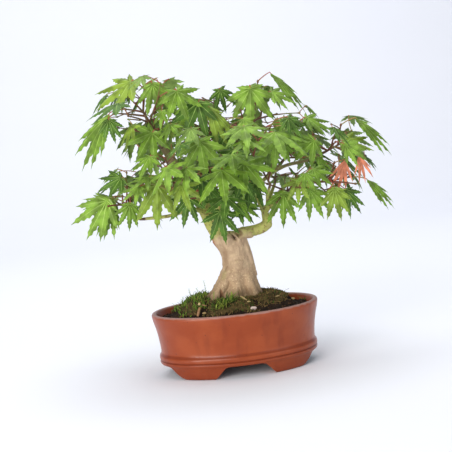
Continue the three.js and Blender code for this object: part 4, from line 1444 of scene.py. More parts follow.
@dataclass(frozen=True)
class Bark:
    """Tan bark on the trunk that turns yellow-green on the young boughs and grey-brown above."""

    tan: Colour = (194, 168, 138)
    pale: Colour = (220, 196, 158)
    brown: Colour = (160, 135, 108)
    green: Colour = (176, 180, 96)
    speckle: Colour = (132, 112, 70)
    grey: Colour = (136, 118, 92)
    # Painted shade in the cleft to the left of the knob at the fork and in a pit on the leader.
    cleft_shade: Colour = (52, 38, 30)
    # Painted shadow at the left of the knob and in the notches at the fork.
    fork_shade: Colour = (112, 88, 56)
    warm: Colour = (166, 136, 100)
    # Rust-red, laid as painted shade in a root groove and as a spot on the trunk's left.
    rust_and_shade: Colour = (150, 92, 62)
    foot: Colour = (104, 84, 58)
    olive: Colour = (150, 140, 86)
    shade: Colour = (140, 112, 84)

    def trunk(self, recipe: Recipe, level: Socket, streaks: Socket) -> Socket:
        """Colours the trunk: streaks, pale warts and dark pores low down, a stain, a dark foot and painted
        shade.

        Args:
            recipe: The material.
            level: The height, which wanders a little.
            streaks: The streaks along the wood.

        Returns:
            The colour.
        """
        share = recipe.plus(0.35, recipe.times(recipe.step(streaks, 0.4, 0.6), 0.5))
        colour = recipe.mix(share, self.brown, self.tan)
        colour = recipe.lay(colour, self.pale, recipe.step(recipe.noise(0.0045), 0.5, 0.66), 0.35)
        colour = recipe.lay(colour, self.warm, recipe.below(level, 0.076, 0.112), 0.45)
        warty = recipe.below(level, 0.09, 0.108)
        pores = recipe.step(recipe.noise(0.0011), 0.56, 0.68)
        dots = recipe.step(recipe.noise(0.0014, 2), 0.6, 0.7)
        for marks, tone, strength in ((pores, self.shade, 0.5), (dots, self.pale, 0.85)):
            colour = recipe.lay(colour, tone, recipe.times(marks, warty), strength)
        # A band of painted shade on the front, a greenish stain, then painted shade in two root grooves, one
        # of them reddish.
        for middle, size, stain_and_shade, strength in (
            ((-5, -11, 99), (3.4, 9, 14), self.shade, 0.6),
            ((-8, -9, 84), (5, 7, 7), self.olive, 0.45),
            ((-12, -15, 68), (2.2, 7, 6), self.rust_and_shade, 0.6),
            ((4, -18, 68), (2, 7, 5), self.foot, 0.6),
        ):
            colour = recipe.lay(colour, stain_and_shade, recipe.spot(middle, size), strength)
        return recipe.lay(colour, self.foot, recipe.below(level, 0.071, 0.084), 0.6)

    def make(self) -> Paint:
        """Builds the material."""
        recipe = Recipe("bark", 0.82, 0.3)
        level = recipe.plus(recipe.height(), recipe.times(recipe.noise(0.012), 0.014))
        streaks = recipe.noise(0.004, 5, (1, 1, 0.55), 0.6)
        bough = recipe.mix(recipe.step(recipe.noise(0.0022, 4), 0.52, 0.66), self.green, self.speckle)
        bough = recipe.lay(bough, self.tan, recipe.step(streaks, 0.5, 0.7), 0.4)
        trunk = self.trunk(recipe, level, streaks)
        colour = recipe.mix(recipe.step(level, 0.122, 0.136), trunk, bough)
        for middle, size, turn, tone, strength in (
            ((-16, -4, 124), (9, 14, 11), 20, bough, 0.8),
            ((27, -5, 122), (11, 14, 9), 0, bough, 0.85),
        ):
            colour = recipe.lay(colour, tone, recipe.spot(middle, size, turn), strength)
        colour = recipe.lay(colour, self.grey, recipe.step(level, 0.166, 0.19), 0.85)
        # Painted shade in the cleft and notches at the fork and in a pit on the leader, then a rust-red spot
        # on the trunk's left.
        for middle, size, turn, tone, strength in (
            ((4.4, -10, 117.6), (1.2, 5, 4.4), -30, self.cleft_shade, 0.8),
            ((9.8, -12, 121.4), (3.0, 5, 3.6), -16, self.fork_shade, 0.8),
            ((7.8, -10, 120.8), (1.1, 6, 3.6), -24, self.cleft_shade, 0.8),
            ((19, -11, 114.4), (4, 5, 1.1), 12, self.fork_shade, 0.8),
            ((0, -6, 123.5), (3.4, 9, 1.2), 8, self.fork_shade, 0.8),
            ((-28.5, -5, 160), (2.2, 4, 2.2), 0, self.cleft_shade, 0.8),
            ((-15.5, -3, 112), (5, 6, 8), 0, self.rust_and_shade, 0.75),
        ):
            colour = recipe.lay(colour, tone, recipe.spot(middle, size, turn), strength)
        rough = recipe.plus(streaks, recipe.times(recipe.noise(0.0009), 0.4))
        return recipe.finished(colour, rough, 0.0007)


class Tint(Enum):
    """The greens of the leaves, with the share of the sprays that each takes."""

    MID = ((104, 138, 42), 0.3)
    BRIGHT = ((118, 152, 54), 0.26)
    YELLOW = ((122, 147, 50), 0.12)
    DARK = ((74, 108, 36), 0.22)
    GREYISH = ((112, 140, 66), 0.1)
    # DEEP is painted shade for leaves inside the crown; no spray takes it by share.
    DEEP = ((68, 100, 32), 0)

    @classmethod
    def dealt(cls, share: float) -> Tint:
        """Picks the tint for a number from 0 to 1."""
        total = 0.0
        for tint in cls:
            total += tint.value[1]
            if share < total:
                return tint
        return cls.GREYISH


# Ways of making pieces


def finish_piece(piece: Thing, nodes: Sequence[str] = (), smooth: float | None = 40) -> Thing:
    """Rounds off a piece: shading, body and the nodes that it replaces.

    Args:
        piece: The piece.
        nodes: The nodes that the piece stands for.
        smooth: The angle in degrees up to which edges look smooth, or None to leave the shading alone.

    Returns:
        The piece.
    """
    if smooth is not None:
        choose(piece)
        bpy.ops.object.shade_smooth_by_angle(angle=smooth * RADIANS)
    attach(piece, BODY)
    if nodes:
        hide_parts(*nodes)
    log.info("%s: %d faces", piece.name, len(piece.data.polygons))
    return piece


def choose(*pieces: Thing) -> None:
    """Selects only these objects, the first of them active."""
    if bpy.context.object and bpy.context.object.mode != "OBJECT":
        bpy.ops.object.mode_set(mode="OBJECT")
    bpy.ops.object.select_all(action="DESELECT")
    for piece in pieces:
        piece.select_set(True)
    bpy.context.view_layer.objects.active = pieces[0]


def linked(name: str, data: object) -> Thing:
    """Puts a new object into the scene.

    Args:
        name: Its name.
        data: Its mesh, curve, light or camera.

    Returns:
        The object.
    """
    thing = bpy.data.objects.new(name, data)
    bpy.context.scene.collection.objects.link(thing)
    return thing


def named(name: str) -> Thing:
    """Names the active object and its mesh, and gives the object."""
    piece = bpy.context.object
    piece.name = piece.data.name = name
    return piece


def mesh_piece(
    name: str, points: Array, faces: Faces, paints: Sequence[Paint], slots: Array | None = None
) -> Thing:
    """Makes a piece from arrays.

    Args:
        name: The piece's name.
        points: The points in metres in the model's frame.
        faces: The faces' corners.
        paints: The piece's materials.
        slots: Each face's material.

    Returns:
        The piece.
    """
    mesh = bpy.data.meshes.new(name)
    mesh.from_pydata(np.asarray(points).tolist(), [], faces)
    for paint in paints:
        mesh.materials.append(paint)
    if slots is not None:
        mesh.polygons.foreach_set("material_index", np.asarray(slots, dtype=np.int32))
    mesh.update()
    return linked(name, mesh)


def ring_faces(rings: int, count: int) -> list[list[int]]:
    """Lists the faces of a tube of rings: round by round, then its first end and its last.

    Args:
        rings: The number of rings.
        count: The number of points in each.

    Returns:
        The faces.
    """
    faces = []
    for ring in range(rings - 1):
        for i in range(count):
            a, b = ring * count + i, ring * count + (i + 1) % count
            faces.append([a, b, b + count, a + count])
    return [*faces, list(range(count))[::-1], [(rings - 1) * count + i for i in range(count)]]


def outward(piece: Thing) -> None:
    """Makes all faces of a piece look outwards."""
    choose(piece)
    bpy.ops.object.mode_set(mode="EDIT")
    bpy.ops.mesh.select_all(action="SELECT")
    bpy.ops.mesh.normals_make_consistent(inside=False)
    bpy.ops.object.mode_set(mode="OBJECT")
    bpy.ops.object.transform_apply(location=True, rotation=True, scale=True)


def disc(name: str, sides: int, radius: float, z: float) -> tuple[Thing, Array]:
    """Lays a disc as the start of a turned piece, and selects it for drawing it up.

    Args:
        name: The piece's name.
        sides: The number of its sides.
        radius: Its radius in metres.
        z: Its height in millimetres.

    Returns:
        The disc and its middle.
    """
    place = to_frame([(0, 0, z)])[0]
    bpy.ops.mesh.primitive_circle_add(vertices=sides, radius=radius, fill_type="NGON", location=tuple(place))
    piece = named(name)
    bpy.ops.object.mode_set(mode="EDIT")
    bpy.ops.mesh.select_all(action="SELECT")
    return piece, place


def draw_up(rise: float) -> None:
    """Draws the selected face up by a rise in millimetres, with a wall round it."""
    bpy.ops.mesh.extrude_region_move(TRANSFORM_OT_translate={"value": (0, 0, rise * MM)})


def ball(middle: Array, radius: float) -> Thing:
    """Makes a ball from its middle and radius in millimetres."""
    place = tuple(to_frame([middle])[0])
    bpy.ops.mesh.primitive_ico_sphere_add(subdivisions=3, radius=radius * MM, location=place)
    return bpy.context.object


def applied(piece: Thing, kind: str, **settings: object) -> None:
    """Adds a modifier and applies it.

    Args:
        piece: The piece.
        kind: The modifier's kind.
        settings: Its settings.
    """
    choose(piece)
    modifier = piece.modifiers.new(kind.lower(), kind)
    for key, value in settings.items():
        setattr(modifier, key, value)
    bpy.ops.object.modifier_apply(modifier=modifier.name)


def rows_of(mesh: bpy.types.Mesh, kind: str = "co") -> Array:
    """Reads a mesh's points, or the directions that they face.

    Args:
        mesh: The mesh.
        kind: "co" for the points, "normal" for the directions.

    Returns:
        Rows of x, y, z.
    """
    rows = np.empty(len(mesh.vertices) * 3)
    mesh.vertices.foreach_get(kind, rows)
    return rows.reshape(-1, 3)


def move_points(mesh: bpy.types.Mesh, points: Array) -> None:
    """Writes a mesh's points back."""
    mesh.vertices.foreach_set("co", np.asarray(points, dtype=np.float32).ravel())
    mesh.update()


def lattice(cells: Array, seed: int) -> Array:
    """Gives a number from 0 to 1 for each cell of a grid.

    Args:
        cells: Rows of whole numbers.
        seed: The seed.

    Returns:
        One number for each row.
    """
    mask = np.uint64(BITS)
    whole = cells.astype(np.int64).astype(np.uint64) & mask
    mixed = whole[..., 0] * np.uint64(73856093) ^ whole[..., 1] * np.uint64(19349663)
    mixed = (mixed ^ whole[..., 2] * np.uint64(83492791) ^ np.uint64(seed * 2654435761 & BITS)) & mask
    for shift, factor in ((15, 0x2C1B3C6D), (12, 0x297A2D39)):
        mixed = ((mixed ^ (mixed >> np.uint64(shift))) * np.uint64(factor)) & mask
    return (mixed ^ (mixed >> np.uint64(15))).astype(float) / BITS


def value_noise(points: Array, seed: int) -> Array:
    """Gives smooth noise from -1 to 1 with features of size 1.

    Args:
        points: Rows of x, y, z.
        seed: The seed.

    Returns:
        One value for each row.
    """
    cell = np.floor(points)
    t = smooth_share(points - cell, 0, 1)
    total = np.zeros(len(points))
    for corner in range(8):
        step = np.array([corner & 1, (corner >> 1) & 1, (corner >> 2) & 1])
        total += np.prod(np.where(step == 1, t, 1 - t), axis=1) * lattice(cell + step, seed)
    return total * 2 - 1


def layered_noise(points: Array, size: float | Sequence[float], seed: int, layers: int = 3) -> Array:
    """Adds up noise of halving size and strength."""
    scaled = points / np.asarray(size)
    return sum(value_noise(scaled * 2**k + 17.3 * k, seed + k) / 2**k for k in range(layers)) / 1.6


def smooth_share(value: Array | float, low: float, high: float) -> Array:
    """Gives 0 below one limit and 1 above the other, smoothly between them."""
    t = np.clip((np.asarray(value) - low) / (high - low), 0, 1)
    return t * t * (3 - 2 * t)


def circle(middle: Array, radius: float, side: Array, across: Array, count: int) -> Array:
    """Gives points round a circle."""
    turns = np.arange(count) * 2 * math.pi / count
    return middle + radius * (np.outer(np.cos(turns), side) + np.outer(np.sin(turns), across))


@dataclass
class Tangle:
    """Points and faces of many small things, gathered for one joined mesh."""

    points: list[Array] = field(default_factory=list)
    faces: list[list[int]] = field(default_factory=list)
    slots: list[int] = field(default_factory=list)
    count: int = 0

    def add(self, points: Array, faces: Faces, slot: int | Sequence[int] = 0) -> None:
        """Adds one thing.

        Args:
            points: Its points in millimetres round the pot's middle.
            faces: Its faces.
            slot: Its material, or one for each face.
        """
        self.faces += [[self.count + corner for corner in face] for face in faces]
        self.slots += [slot] * len(faces) if isinstance(slot, int) else slot
        self.points.append(points)
        self.count += len(points)

    def tube(self, path: Array, radii: Sequence[float], sides: int = 6, slot: int = 0) -> None:
        """Adds a closed tube along a path.

        Args:
            path: The path's points.
            radii: The radius at each.
            sides: How many sides it has.
            slot: Its material.
        """
        along = units(np.gradient(path, axis=0))
        side = UP if abs(along[0] @ UP) < 0.9 else np.array([1.0, 0, 0])
        rings = []
        for middle, axis, radius in zip(path, along, radii):
            side = unit(side - axis * (side @ axis))
            rings.append(circle(middle, radius, side, np.cross(axis, side), sides))
        self.add(np.concatenate(rings), ring_faces(len(path), sides), slot)

    def piece(self, name: str, paints: Sequence[Paint]) -> Thing:
        """Joins all that was added into one piece of this name with these materials."""
        points = to_frame(np.concatenate(self.points))
        return mesh_piece(name, points, self.faces, paints, np.array(self.slots))


# Pot


@dataclass
class Pot:
    """An oval pot with a flared wall, a moulded skirt and four bevelled feet, in millimetres."""

    half_length: float = 75
    half_depth: float = 55.5
    height: float = 56
    wall: float = 4.6
    wall_taper: float = 5.4
    skirt_inset: float = 3.6
    floor_top: float = 18
    floor_fillet: float = 4
    ledge: float = 19.5
    foot: float = 11
    foot_inset: float = 5
    foot_depth: float = 13
    front_gap: float = 19
    end_gap: float = 24
    gap_flare: float = 8
    drain_radius: float = 5
    drain_spacing: float = 26
    sectors: int = 120
    edge: float = 0.7

    def inner_inset(self, z: float) -> float:
        """Gives the inset of the wall's inside from the rim's outline at a height."""
        return self.wall + self.wall_taper * (self.height - z) / (self.height - self.ledge)

    def oval(self, angles: Array, inset: float) -> tuple[Array, Array]:
        """Gives the x and y of points on the rim's outline, set in by so much."""
        return (self.half_length - inset) * np.cos(angles), (self.half_depth - inset) * np.sin(angles)

    def floor_rings(self) -> list[tuple[float, float]]:
        """Lists the inset and height of the rings at the foot of the wall's inside, from its top down."""
        fillet = self.floor_top + self.floor_fillet
        flat = self.inner_inset(self.floor_top) + self.floor_fillet
        return [(self.inner_inset(fillet), fillet), (flat, self.floor_top)]

    def profile(self) -> list[tuple[float, float]]:
        """Lists the rings of the pot, from the middle of its underside up the outside and down the inside.

        Returns:
            The inset and the height of each ring, in millimetres.
        """
        foot, ledge, top, skirt, waist = self.foot, self.ledge, self.height, self.skirt_inset, self.wall_taper
        deep = self.foot_inset + self.foot_depth
        runs = (
            (deep, 0, ((2, foot), (0, 0.6), (-0.6, 0))),
            (self.foot_inset, 0, ((3.4, 0), (2.2, 0.5), (1.2, 2), (0.5, 5.5))),
            (self.foot_inset, 0, ((0, foot - 0.8), (-0.3, foot - 0.2))),
            (skirt, foot, ((0.9, 0.1), (0.35, 0.8), (0.1, 1.8), (0.3, 2.8))),
            (skirt, foot, ((0.85, 3.3), (0.8, 3.6), (0.2, 4.1), (0, 5))),
            (skirt, ledge, ((0.05, -1.6), (0.3, -0.8), (0.9, -0.1))),
            (waist, ledge, ((-0.7, 0.3), (-0.25, 1), (-0.05, 2.2), (0, 4))),
            (waist, ledge, ((-0.45, 9), (-1.4, 16), (-2.7, 23))),
            (0, top, ((0.9, -7), (0.35, -4.4), (0.12, -3), (0.1, -2), (0.3, -1), (0.8, -0.3), (1.5, 0))),
            (self.wall, top, ((-1.6, 0), (-0.7, -0.3))),
        )
        rings = [(base + inset, level + z) for base, level, run in runs for inset, z in run]
        rings += [(self.inner_inset(top - down), top - down) for down in (1.6, 12)]
        return [*rings, *self.floor_rings()]

    def turn_body(self) -> Thing:
        """Shapes the closed body ring by ring from an oval, without its feet cut out."""
        rings = self.profile()
        body, place = disc("pot_glazed", self.sectors, 1.0, rings[0][1])
        size = ((self.half_length - rings[0][0]) * MM, (self.half_depth - rings[0][0]) * MM, 1.0)
        bpy.ops.transform.resize(value=size, center_override=tuple(place))
        for (inset, z), (next_inset, next_z) in zip(rings, rings[1:]):
            draw_up(next_z - z)
            ratio = [(half - next_inset) / (half - inset) for half in (self.half_length, self.half_depth)]
            middle = tuple(place + UP * (next_z - rings[0][1]) * MM)
            bpy.ops.transform.resize(value=(*ratio, 1.0), center_override=middle)
        outward(body)
        return body

    def foot_space(self, half_width: float, reach: float, turned: float) -> Thing:
        """Makes the space between two feet, wider at the ground, from the pot's middle outwards.

        Args:
            half_width: Half its width at its top.
            reach: How far it reaches from the middle.
            turned: The angle that it is turned by.

        Returns:
            The space as a closed block with rounded upper edges.
        """
        wide, foot = half_width + self.gap_flare, self.foot
        half = [(wide, -2), (wide - 1, 1), (half_width, foot - 2.4), (half_width - 1.6, foot - 0.9)]
        half.append((half_width - 5, foot))
        outline = [(-wide, -2), *half, *((-x, z) for x, z in half[:0:-1])]
        points = np.array([(x, y, z) for y in (0.0, -reach) for x, z in outline])
        turn = np.array(Matrix.Rotation(turned, 3, "Z"))
        space = mesh_piece("foot_space", to_frame(points @ turn.T), ring_faces(2, len(outline)), [])
        outward(space)
        return space

    @staticmethod
    def cut(body: Thing, tool: Thing) -> None:
        """Cuts a tool's shape out of the body and removes the tool."""
        applied(body, "BOOLEAN", operation="DIFFERENCE", solver="EXACT", object=tool)
        bpy.data.objects.remove(tool)

    def build(self, glaze: Paint, raw: Paint) -> Thing:
        """Makes the pot.

        Args:
            glaze: The outside's material.
            raw: The material inside and underneath.

        Returns:
            The pot.
        """
        body = self.turn_body()
        gaps = ((self.front_gap, self.half_depth, (0, 2)), (self.end_gap, self.half_length, (1, -1)))
        for gap, half, turns in gaps:
            for turn in turns:
                self.cut(body, self.foot_space(gap, half + 5, turn * math.pi / 2))
        for side in (-1, 1):
            place = tuple(to_frame([(side * self.drain_spacing, 0, self.floor_top / 2)])[0])
            size = {"radius": self.drain_radius * MM, "depth": (self.floor_top + 6) * MM}
            bpy.ops.mesh.primitive_cylinder_add(vertices=32, location=place, **size)
            self.cut(body, bpy.context.object)
        corner = {"limit_method": "ANGLE", "angle_limit": 50 * RADIANS, "harden_normals": False}
        applied(body, "BEVEL", width=self.edge * MM, segments=2, use_clamp_overlap=True, **corner)
        for paint in (glaze, raw):
            body.data.materials.append(paint)
        for face in body.data.polygons:
            x, y, z = (np.array(face.center) - POT_MIDDLE) / MM
            round_the_middle = math.hypot(x / (self.half_length - 6), y / (self.half_depth - 6))
            inside = self.floor_top - 1 < z < self.height - 3 and round_the_middle < 1
            under = z < self.floor_top and face.normal.z < -0.7 and round_the_middle < 0.98
            face.material_index = int(inside or under)
        return finish_piece(body, ["pot"], 32)


# Soil, moss and what lies on them


@dataclass
class SoilBed:
    """The soil in the pot: a mound that falls from the trunk's foot to the wall, with crumbs on it."""

    pot: Pot
    edge_height: float = 50
    ground: float = GROUND
    plateau_x: float = 1
    plateau_length: float = 32
    plateau_depth: float = 26
    rings: int = 26
    sectors: int = 150
    crumbs: int = 900
    seed: int = 41

    def plateau(self, angle: Array, share: float = 1) -> tuple[Array, Array]:
        """Gives the x and y of points round the flat top, at a share of the way to its edge."""
        x = self.plateau_x + self.plateau_length * share * np.cos(angle)
        return x, self.plateau_depth * share * np.sin(angle)

    def slope(self, angle: Array | float, share: Array | float) -> Array:
        """Gives the soil's surface between the plateau round the trunk and the wall.

        Args:
            angle: Angles round the pot.
            share: 0 at the plateau's edge to 1 at the wall.

        Returns:
            Rows of x, y, z in millimetres.
        """
        angle, share = np.atleast_1d(angle), np.atleast_1d(share)
        edge_x, edge_y = self.pot.oval(angle, self.pot.inner_inset(self.edge_height) + GAP)
        x, y = self.plateau(angle)
        uneven = 0.9 * np.sin(math.pi * share) * np.sin(5 * angle + 7 * share)
        z = self.ground + (self.edge_height - self.ground) * share * share * (3 - 2 * share) + uneven
        return np.stack([x + (edge_x - x) * share, y + (edge_y - y) * share, z], axis=-1)

    def roughened(self, points: Array, strength: float) -> Array:
        """Makes a surface lumpy.

        Args:
            points: Rows of x, y, z in millimetres.
            strength: How strongly.

        Returns:
            The moved points.
        """
        lumps = layered_noise(points, 7, self.seed, 4) * 1.5
        lumps = lumps + layered_noise(points, 1.8, self.seed + 9, 2) * 0.5
        return points + np.outer(lumps * strength, UP)

    def build(self, earth: Paint, crumb: Paint) -> None:
        """Makes the soil and its crumbs.

        Args:
            earth: The soil's material.
            crumb: The crumbs' material.
        """
        angles = np.arange(self.sectors) * 2 * math.pi / self.sectors
        level = [(*self.pot.oval(angles, inset + GAP), z + GAP) for inset, z in self.pot.floor_rings()[::-1]]
        top = [(*self.plateau(angles, share), self.ground - 0.4) for share in (0.75, 0.5, 0.25)]
        stacks = ([np.stack([x, y, np.full_like(x, z)], axis=1) for x, y, z in rows] for rows in (level, top))
        low, high = stacks
        for k in range(self.rings + 1):
            share = 1 - k / self.rings
            calm = float(smooth_share(1 - share, 0, 0.12))
            low.append(self.roughened(self.slope(angles, np.full_like(angles, share)), calm))
        points = np.concatenate([*low, *high, [[self.plateau_x, 0, self.ground - 0.4]]])
        *faces, end = ring_faces(len(low) + len(high), self.sectors)
        faces += [[one, other, len(points) - 1] for one, other in zip(end, end[1:] + end[:1])]
        finish_piece(mesh_piece("soil_bed", to_frame(points), faces, [earth]), ["soil"], 180)
        self.scatter_crumbs(earth, crumb)

    def scatter_crumbs(self, earth: Paint, crumb: Paint) -> None:
        """Strews crumbs of soil over the slope.

        Args:
            earth: The dark crumbs' material.
            crumb: The brown crumbs' material.
        """
        draw = np.random.default_rng(self.seed)
        corners = np.array([(1, 0, 0), (-1, 0, 0), (0, 1, 0), (0, -1, 0), (0, 0, 1), (0, 0, -1)], dtype=float)
        faces = [[4, 0, 2], [4, 2, 1], [4, 1, 3], [4, 3, 0], [5, 2, 0], [5, 1, 2], [5, 3, 1], [5, 0, 3]]
        tangle = Tangle()
        for _ in range(self.crumbs):
            angle = draw.uniform(0, 2 * math.pi, 1)
            share = draw.uniform(0.05, 0.97, 1) ** 0.8
            place = self.roughened(self.slope(angle, share), 1.0)[0]
            size = draw.uniform(0.45, 1.5)
            squash = draw.uniform(0.6, 1.3, (6, 3))
            angle = draw.uniform(0, 6.3)
            turn = np.array(Matrix.Rotation(angle, 3, Vector(draw.normal(size=3)).normalized()))
            tangle.add(place + (corners * squash * size) @ turn.T, faces, int(draw.random() < 0.35))
        finish_piece(tangle.piece("soil_crumbs", [earth, crumb]), smooth=60)


@dataclass(frozen=True)
class MossPad:
    """A pad of moss round the trunk's foot, between two angles in degrees."""

    start: float
    end: float
    reach: float
    rise: float
    shoots: int
    height: tuple[float, float]
    colours: tuple[int, ...]


class Growing(IntEnum):
    """The materials of what grows and lies on the soil."""

    BRIGHT = 0
    DEEP = 1
    YELLOW = 2
    BROWN = 3
    STRAW = 4
    STONE = 5
    STICK = 6
    MAT = 7


class MossAndWeeds:
    """The moss round the trunk's foot, with weeds, fine stalks, stones, straw and bits of stick."""

    pads = {
        "moss_left": MossPad(140, 229, 0.55, 0.85, 760, (1.3, 4.4), (1, 0, 3, 7, 1, 0, 3)),
        "moss_front": MossPad(232, 288, 0.6, 0.5, 900, (0.9, 2.6), (3, 7, 3, 3, 1, 7)),
        "moss_right": MossPad(291, 398, 0.4, 0.5, 1500, (0.8, 2.4), (3, 3, 7, 3, 3, 7, 1)),
        "moss_back": MossPad(401, 497, 0.4, 0.4, 1100, (0.9, 2.4), (1, 3, 7, 0)),
    }
    rise = 3.4
    thickness = 5
    tufts = (
        (-13, -34, 34, 12, 1.5, 11), (-8, -30, 22, 12, 1.4, 9), (-18, -32, 24, 11, 1.3, 10),
        (-31, -14, 28, 12, 0.9, 7), (-40, -4, 24, 10, 0.9, 7), (-29, -24, 14, 8, 0.8, 6),
        (-24, 2, 18, 12, 0.8, 6), (-46, -12, 16, 8, 0.8, 6), (-36, -22, 12, 7, 0.8, 5),
        (-45, 10, 18, 9, 0.8, 6), (-33, 10, 18, 10, 0.8, 6), (66, 12, 12, 6, 0.7, 5),
        (48, 16, 14, 7, 0.7, 5), (30, 27, 14, 7, 0.6, 5), (-24, 27, 14, 7, 0.6, 5), (4, -30, 10, 6, 0.7, 5),
    )
    stalks = ((-24, 0, 17, -1.5), (-38, 6, 12, -1), (-30, 8, 10, -2), (-46, 8, 9, 1), (-20, -22, 9, 1))
    bits = (
        ((3, -30, 6.0), (5, -3, -3.6), 0.7, Growing.STRAW),
        ((8, -33, 2.0), (3, -3, 0.2), 0.4, Growing.STRAW),
        ((-36, -33, 0.8), (2.6, 3, 7.2), 1.2, Growing.STICK),
        ((-33.6, -30.2, 7.6), (0.6, 0.8, 2.0), 1.2, Growing.STRAW),
        ((-27, -27, 1.4), (-4, 2, 1), 0.6, Growing.STICK),
        ((34, -20, 1.4), (5, 2, 0.5), 0.5, Growing.STRAW),
        ((-52, 4, 1.0), (4, -3, 0.8), 0.45, Growing.STRAW),
    )
    pebbles = (
        ("stone_pale", 12.5, -38, 2.3, Growing.STONE),
        ("stone_small", -30, -33, 1.3, Growing.STRAW),
        ("stone_right", 52, -8, 1.6, Growing.STRAW),
    )
    rootlets = 200

    def __init__(self, bed: SoilBed, paints: Sequence[Paint]) -> None:
        """Takes the bed that they grow on.

        Args:
            bed: The soil.
            paints: The materials in the order of Growing.
        """
        self.bed = bed
        self.paints = paints
        self.draw = np.random.default_rng(77)

    def place(self, pad: MossPad, across: float, out: float) -> Array:
        """Gives a point on a pad's plain surface.

        Args:
            pad: The pad.
            across: The share of the way between its two angles.
            out: The share of the way from the trunk outwards.

        Returns:
            The point in millimetres.
        """
        angle = np.array([(pad.start + (pad.end - pad.start) * across) * RADIANS])
        inner = trunk_points(TRUNK_SECTIONS[0], angle)[0]
        ragged = pad.reach * (1 + 0.12 * np.sin(9 * angle))
        outer = self.bed.slope(angle, ragged)[0]
        point = inner * 0.985 + (outer - inner) * out
        plump = math.sin(math.pi * (0.2 + 0.65 * out)) * (0.55 + 0.45 * math.sin(math.pi * across))
        under = self.bed.slope(angle, np.maximum(0, ragged * (out - 0.35) * 1.5))[0]
        point[2] = min(self.bed.ground, under[2]) + GAP + 0.7 + self.rise * pad.rise * plump
        return point

    def cushion(self, name: str, pad: MossPad) -> None:
        """Makes a pad's lumpy cushion.

        Args:
            name: The node's name.
            pad: The pad.
        """
        turns, steps = max(int((pad.end - pad.start) / 2.2), 6), 12
        rings = []
        for i in range(turns + 1):
            above = np.array([self.place(pad, i / turns, j / steps) for j in range(steps + 1)])
            lumps = layered_noise(above, 4.5, 5, 3) * 1.1 + layered_noise(above, 1.3, 8, 2) * 0.5
            above[:, 2] += lumps - (1 - smooth_share(min(i, turns - i) / turns, 0, 0.12)) * 2.2
            rings.append(np.concatenate([above, above[::-1] - UP * self.thickness]))
        points, mat = to_frame(np.concatenate(rings)), [self.paints[Growing.MAT]]
        cushion = mesh_piece(name + "_cushion", points, ring_faces(turns + 1, len(rings[0])), mat)
        outward(cushion)
        finish_piece(cushion, [name], 180)

    def shoots(self) -> None:
        """Plants short shoots all over the pads."""
        tangle = Tangle()
        for pad in self.pads.values():
            for _ in range(pad.shoots):
                across, out = self.draw.uniform(0.01, 0.99), self.draw.uniform(0.02, 1.12)
                foot = self.place(pad, across, out)
                clump = float(layered_noise(foot[None], 5, 23, 2)[0])
                tall = between(pad.height, self.draw.random() ** 1.6) * (1 + 0.7 * clump)
                lean = self.draw.normal(0, 0.45, 3)
                lean[2] = 1.0
                slot = pad.colours[int(self.draw.integers(len(pad.colours)))]
                if slot == Growing.BROWN:
                    lean[:2] *= 2.4
                radius = 0.28 + 0.12 * self.draw.random()
                self.spike(tangle, foot - UP * 0.8, unit(lean), tall + 0.8, radius, slot)
        finish_piece(tangle.piece("moss_shoots", self.paints), smooth=None)

    @staticmethod
    def spike(tangle: Tangle, foot: Array, along: Array, length: float, radius: float, slot: int) -> None:
        """Adds one three-sided shoot.

        Args:
            tangle: What it is added to.
            foot: Its foot.
            along: Its direction.
            length: Its length in millimetres.
            radius: The radius of its foot.
            slot: Its material.
        """
        side = unit(np.cross(along, np.array([0.3, 0.9, 0.1])))
        ring = circle(foot, radius, side, np.cross(along, side), 3)
        waist = ring + along * length * 0.45 + (ring - foot) * 0.3
        faces = [[0, 2, 1], [0, 1, 4, 3], [1, 2, 5, 4], [2, 0, 3, 5], [3, 4, 6], [4, 5, 6], [5, 3, 6]]
        tangle.add(np.concatenate([ring, waist, [foot + along * length]]), faces, slot)

    @staticmethod
    def blade(tangle: Tangle, foot: Array, lean: Array, length: float, width: float, slot: int) -> None:
        """Adds one arching blade of a weed, thin and closed.

        Args:
            tangle: What it is added to.
            foot: Its foot.
            lean: How far it leans over, sideways.
            length: Its length in millimetres.
            width: Its width.
            slot: Its material.
        """
        widths = np.array([0.5, 0.85, 1, 0.85, 0.5, 0.06]) * width / 2
        n = len(widths)
        shares = np.linspace(0, 1, n)
        path = foot + np.outer(shares, UP * length) + np.outer(shares**2, lean)
        path -= np.outer(shares**3, UP * length * 0.25)
        side = unit(np.cross(lean + np.array([1e-3, 0, 0]), UP))
        half = side * widths[:, None]
        back = path + unit(np.cross(side, UP)) * 0.18
        faces: list[list[int]] = []
        for k in range(n - 1):
            faces += [[k, n + k, n + k + 1, k + 1], [k, k + 1, 2 * n + k + 1, 2 * n + k]]
            faces.append([2 * n + k, 2 * n + k + 1, n + k + 1, n + k])
        faces += [[0, 2 * n, n], [n - 1, 2 * n - 1, 3 * n - 1]]
        tangle.add(np.concatenate([path - half, path + half, back]), faces, slot)

    def surface(self, x: float, y: float) -> Array:
        """Finds the top of the soil at a place.

        Args:
            x: Sideways place in millimetres.
            y: Lengthways place.

        Returns:
            The point.
        """
        shares = np.linspace(0, 1, 41)
        points = self.bed.slope(np.full(41, math.atan2(y, x - self.bed.plateau_x)), shares)
        nearest = np.hypot(points[:, 0] - x, points[:, 1] - y).argmin()
        return np.array([x, y, points[nearest, 2]])

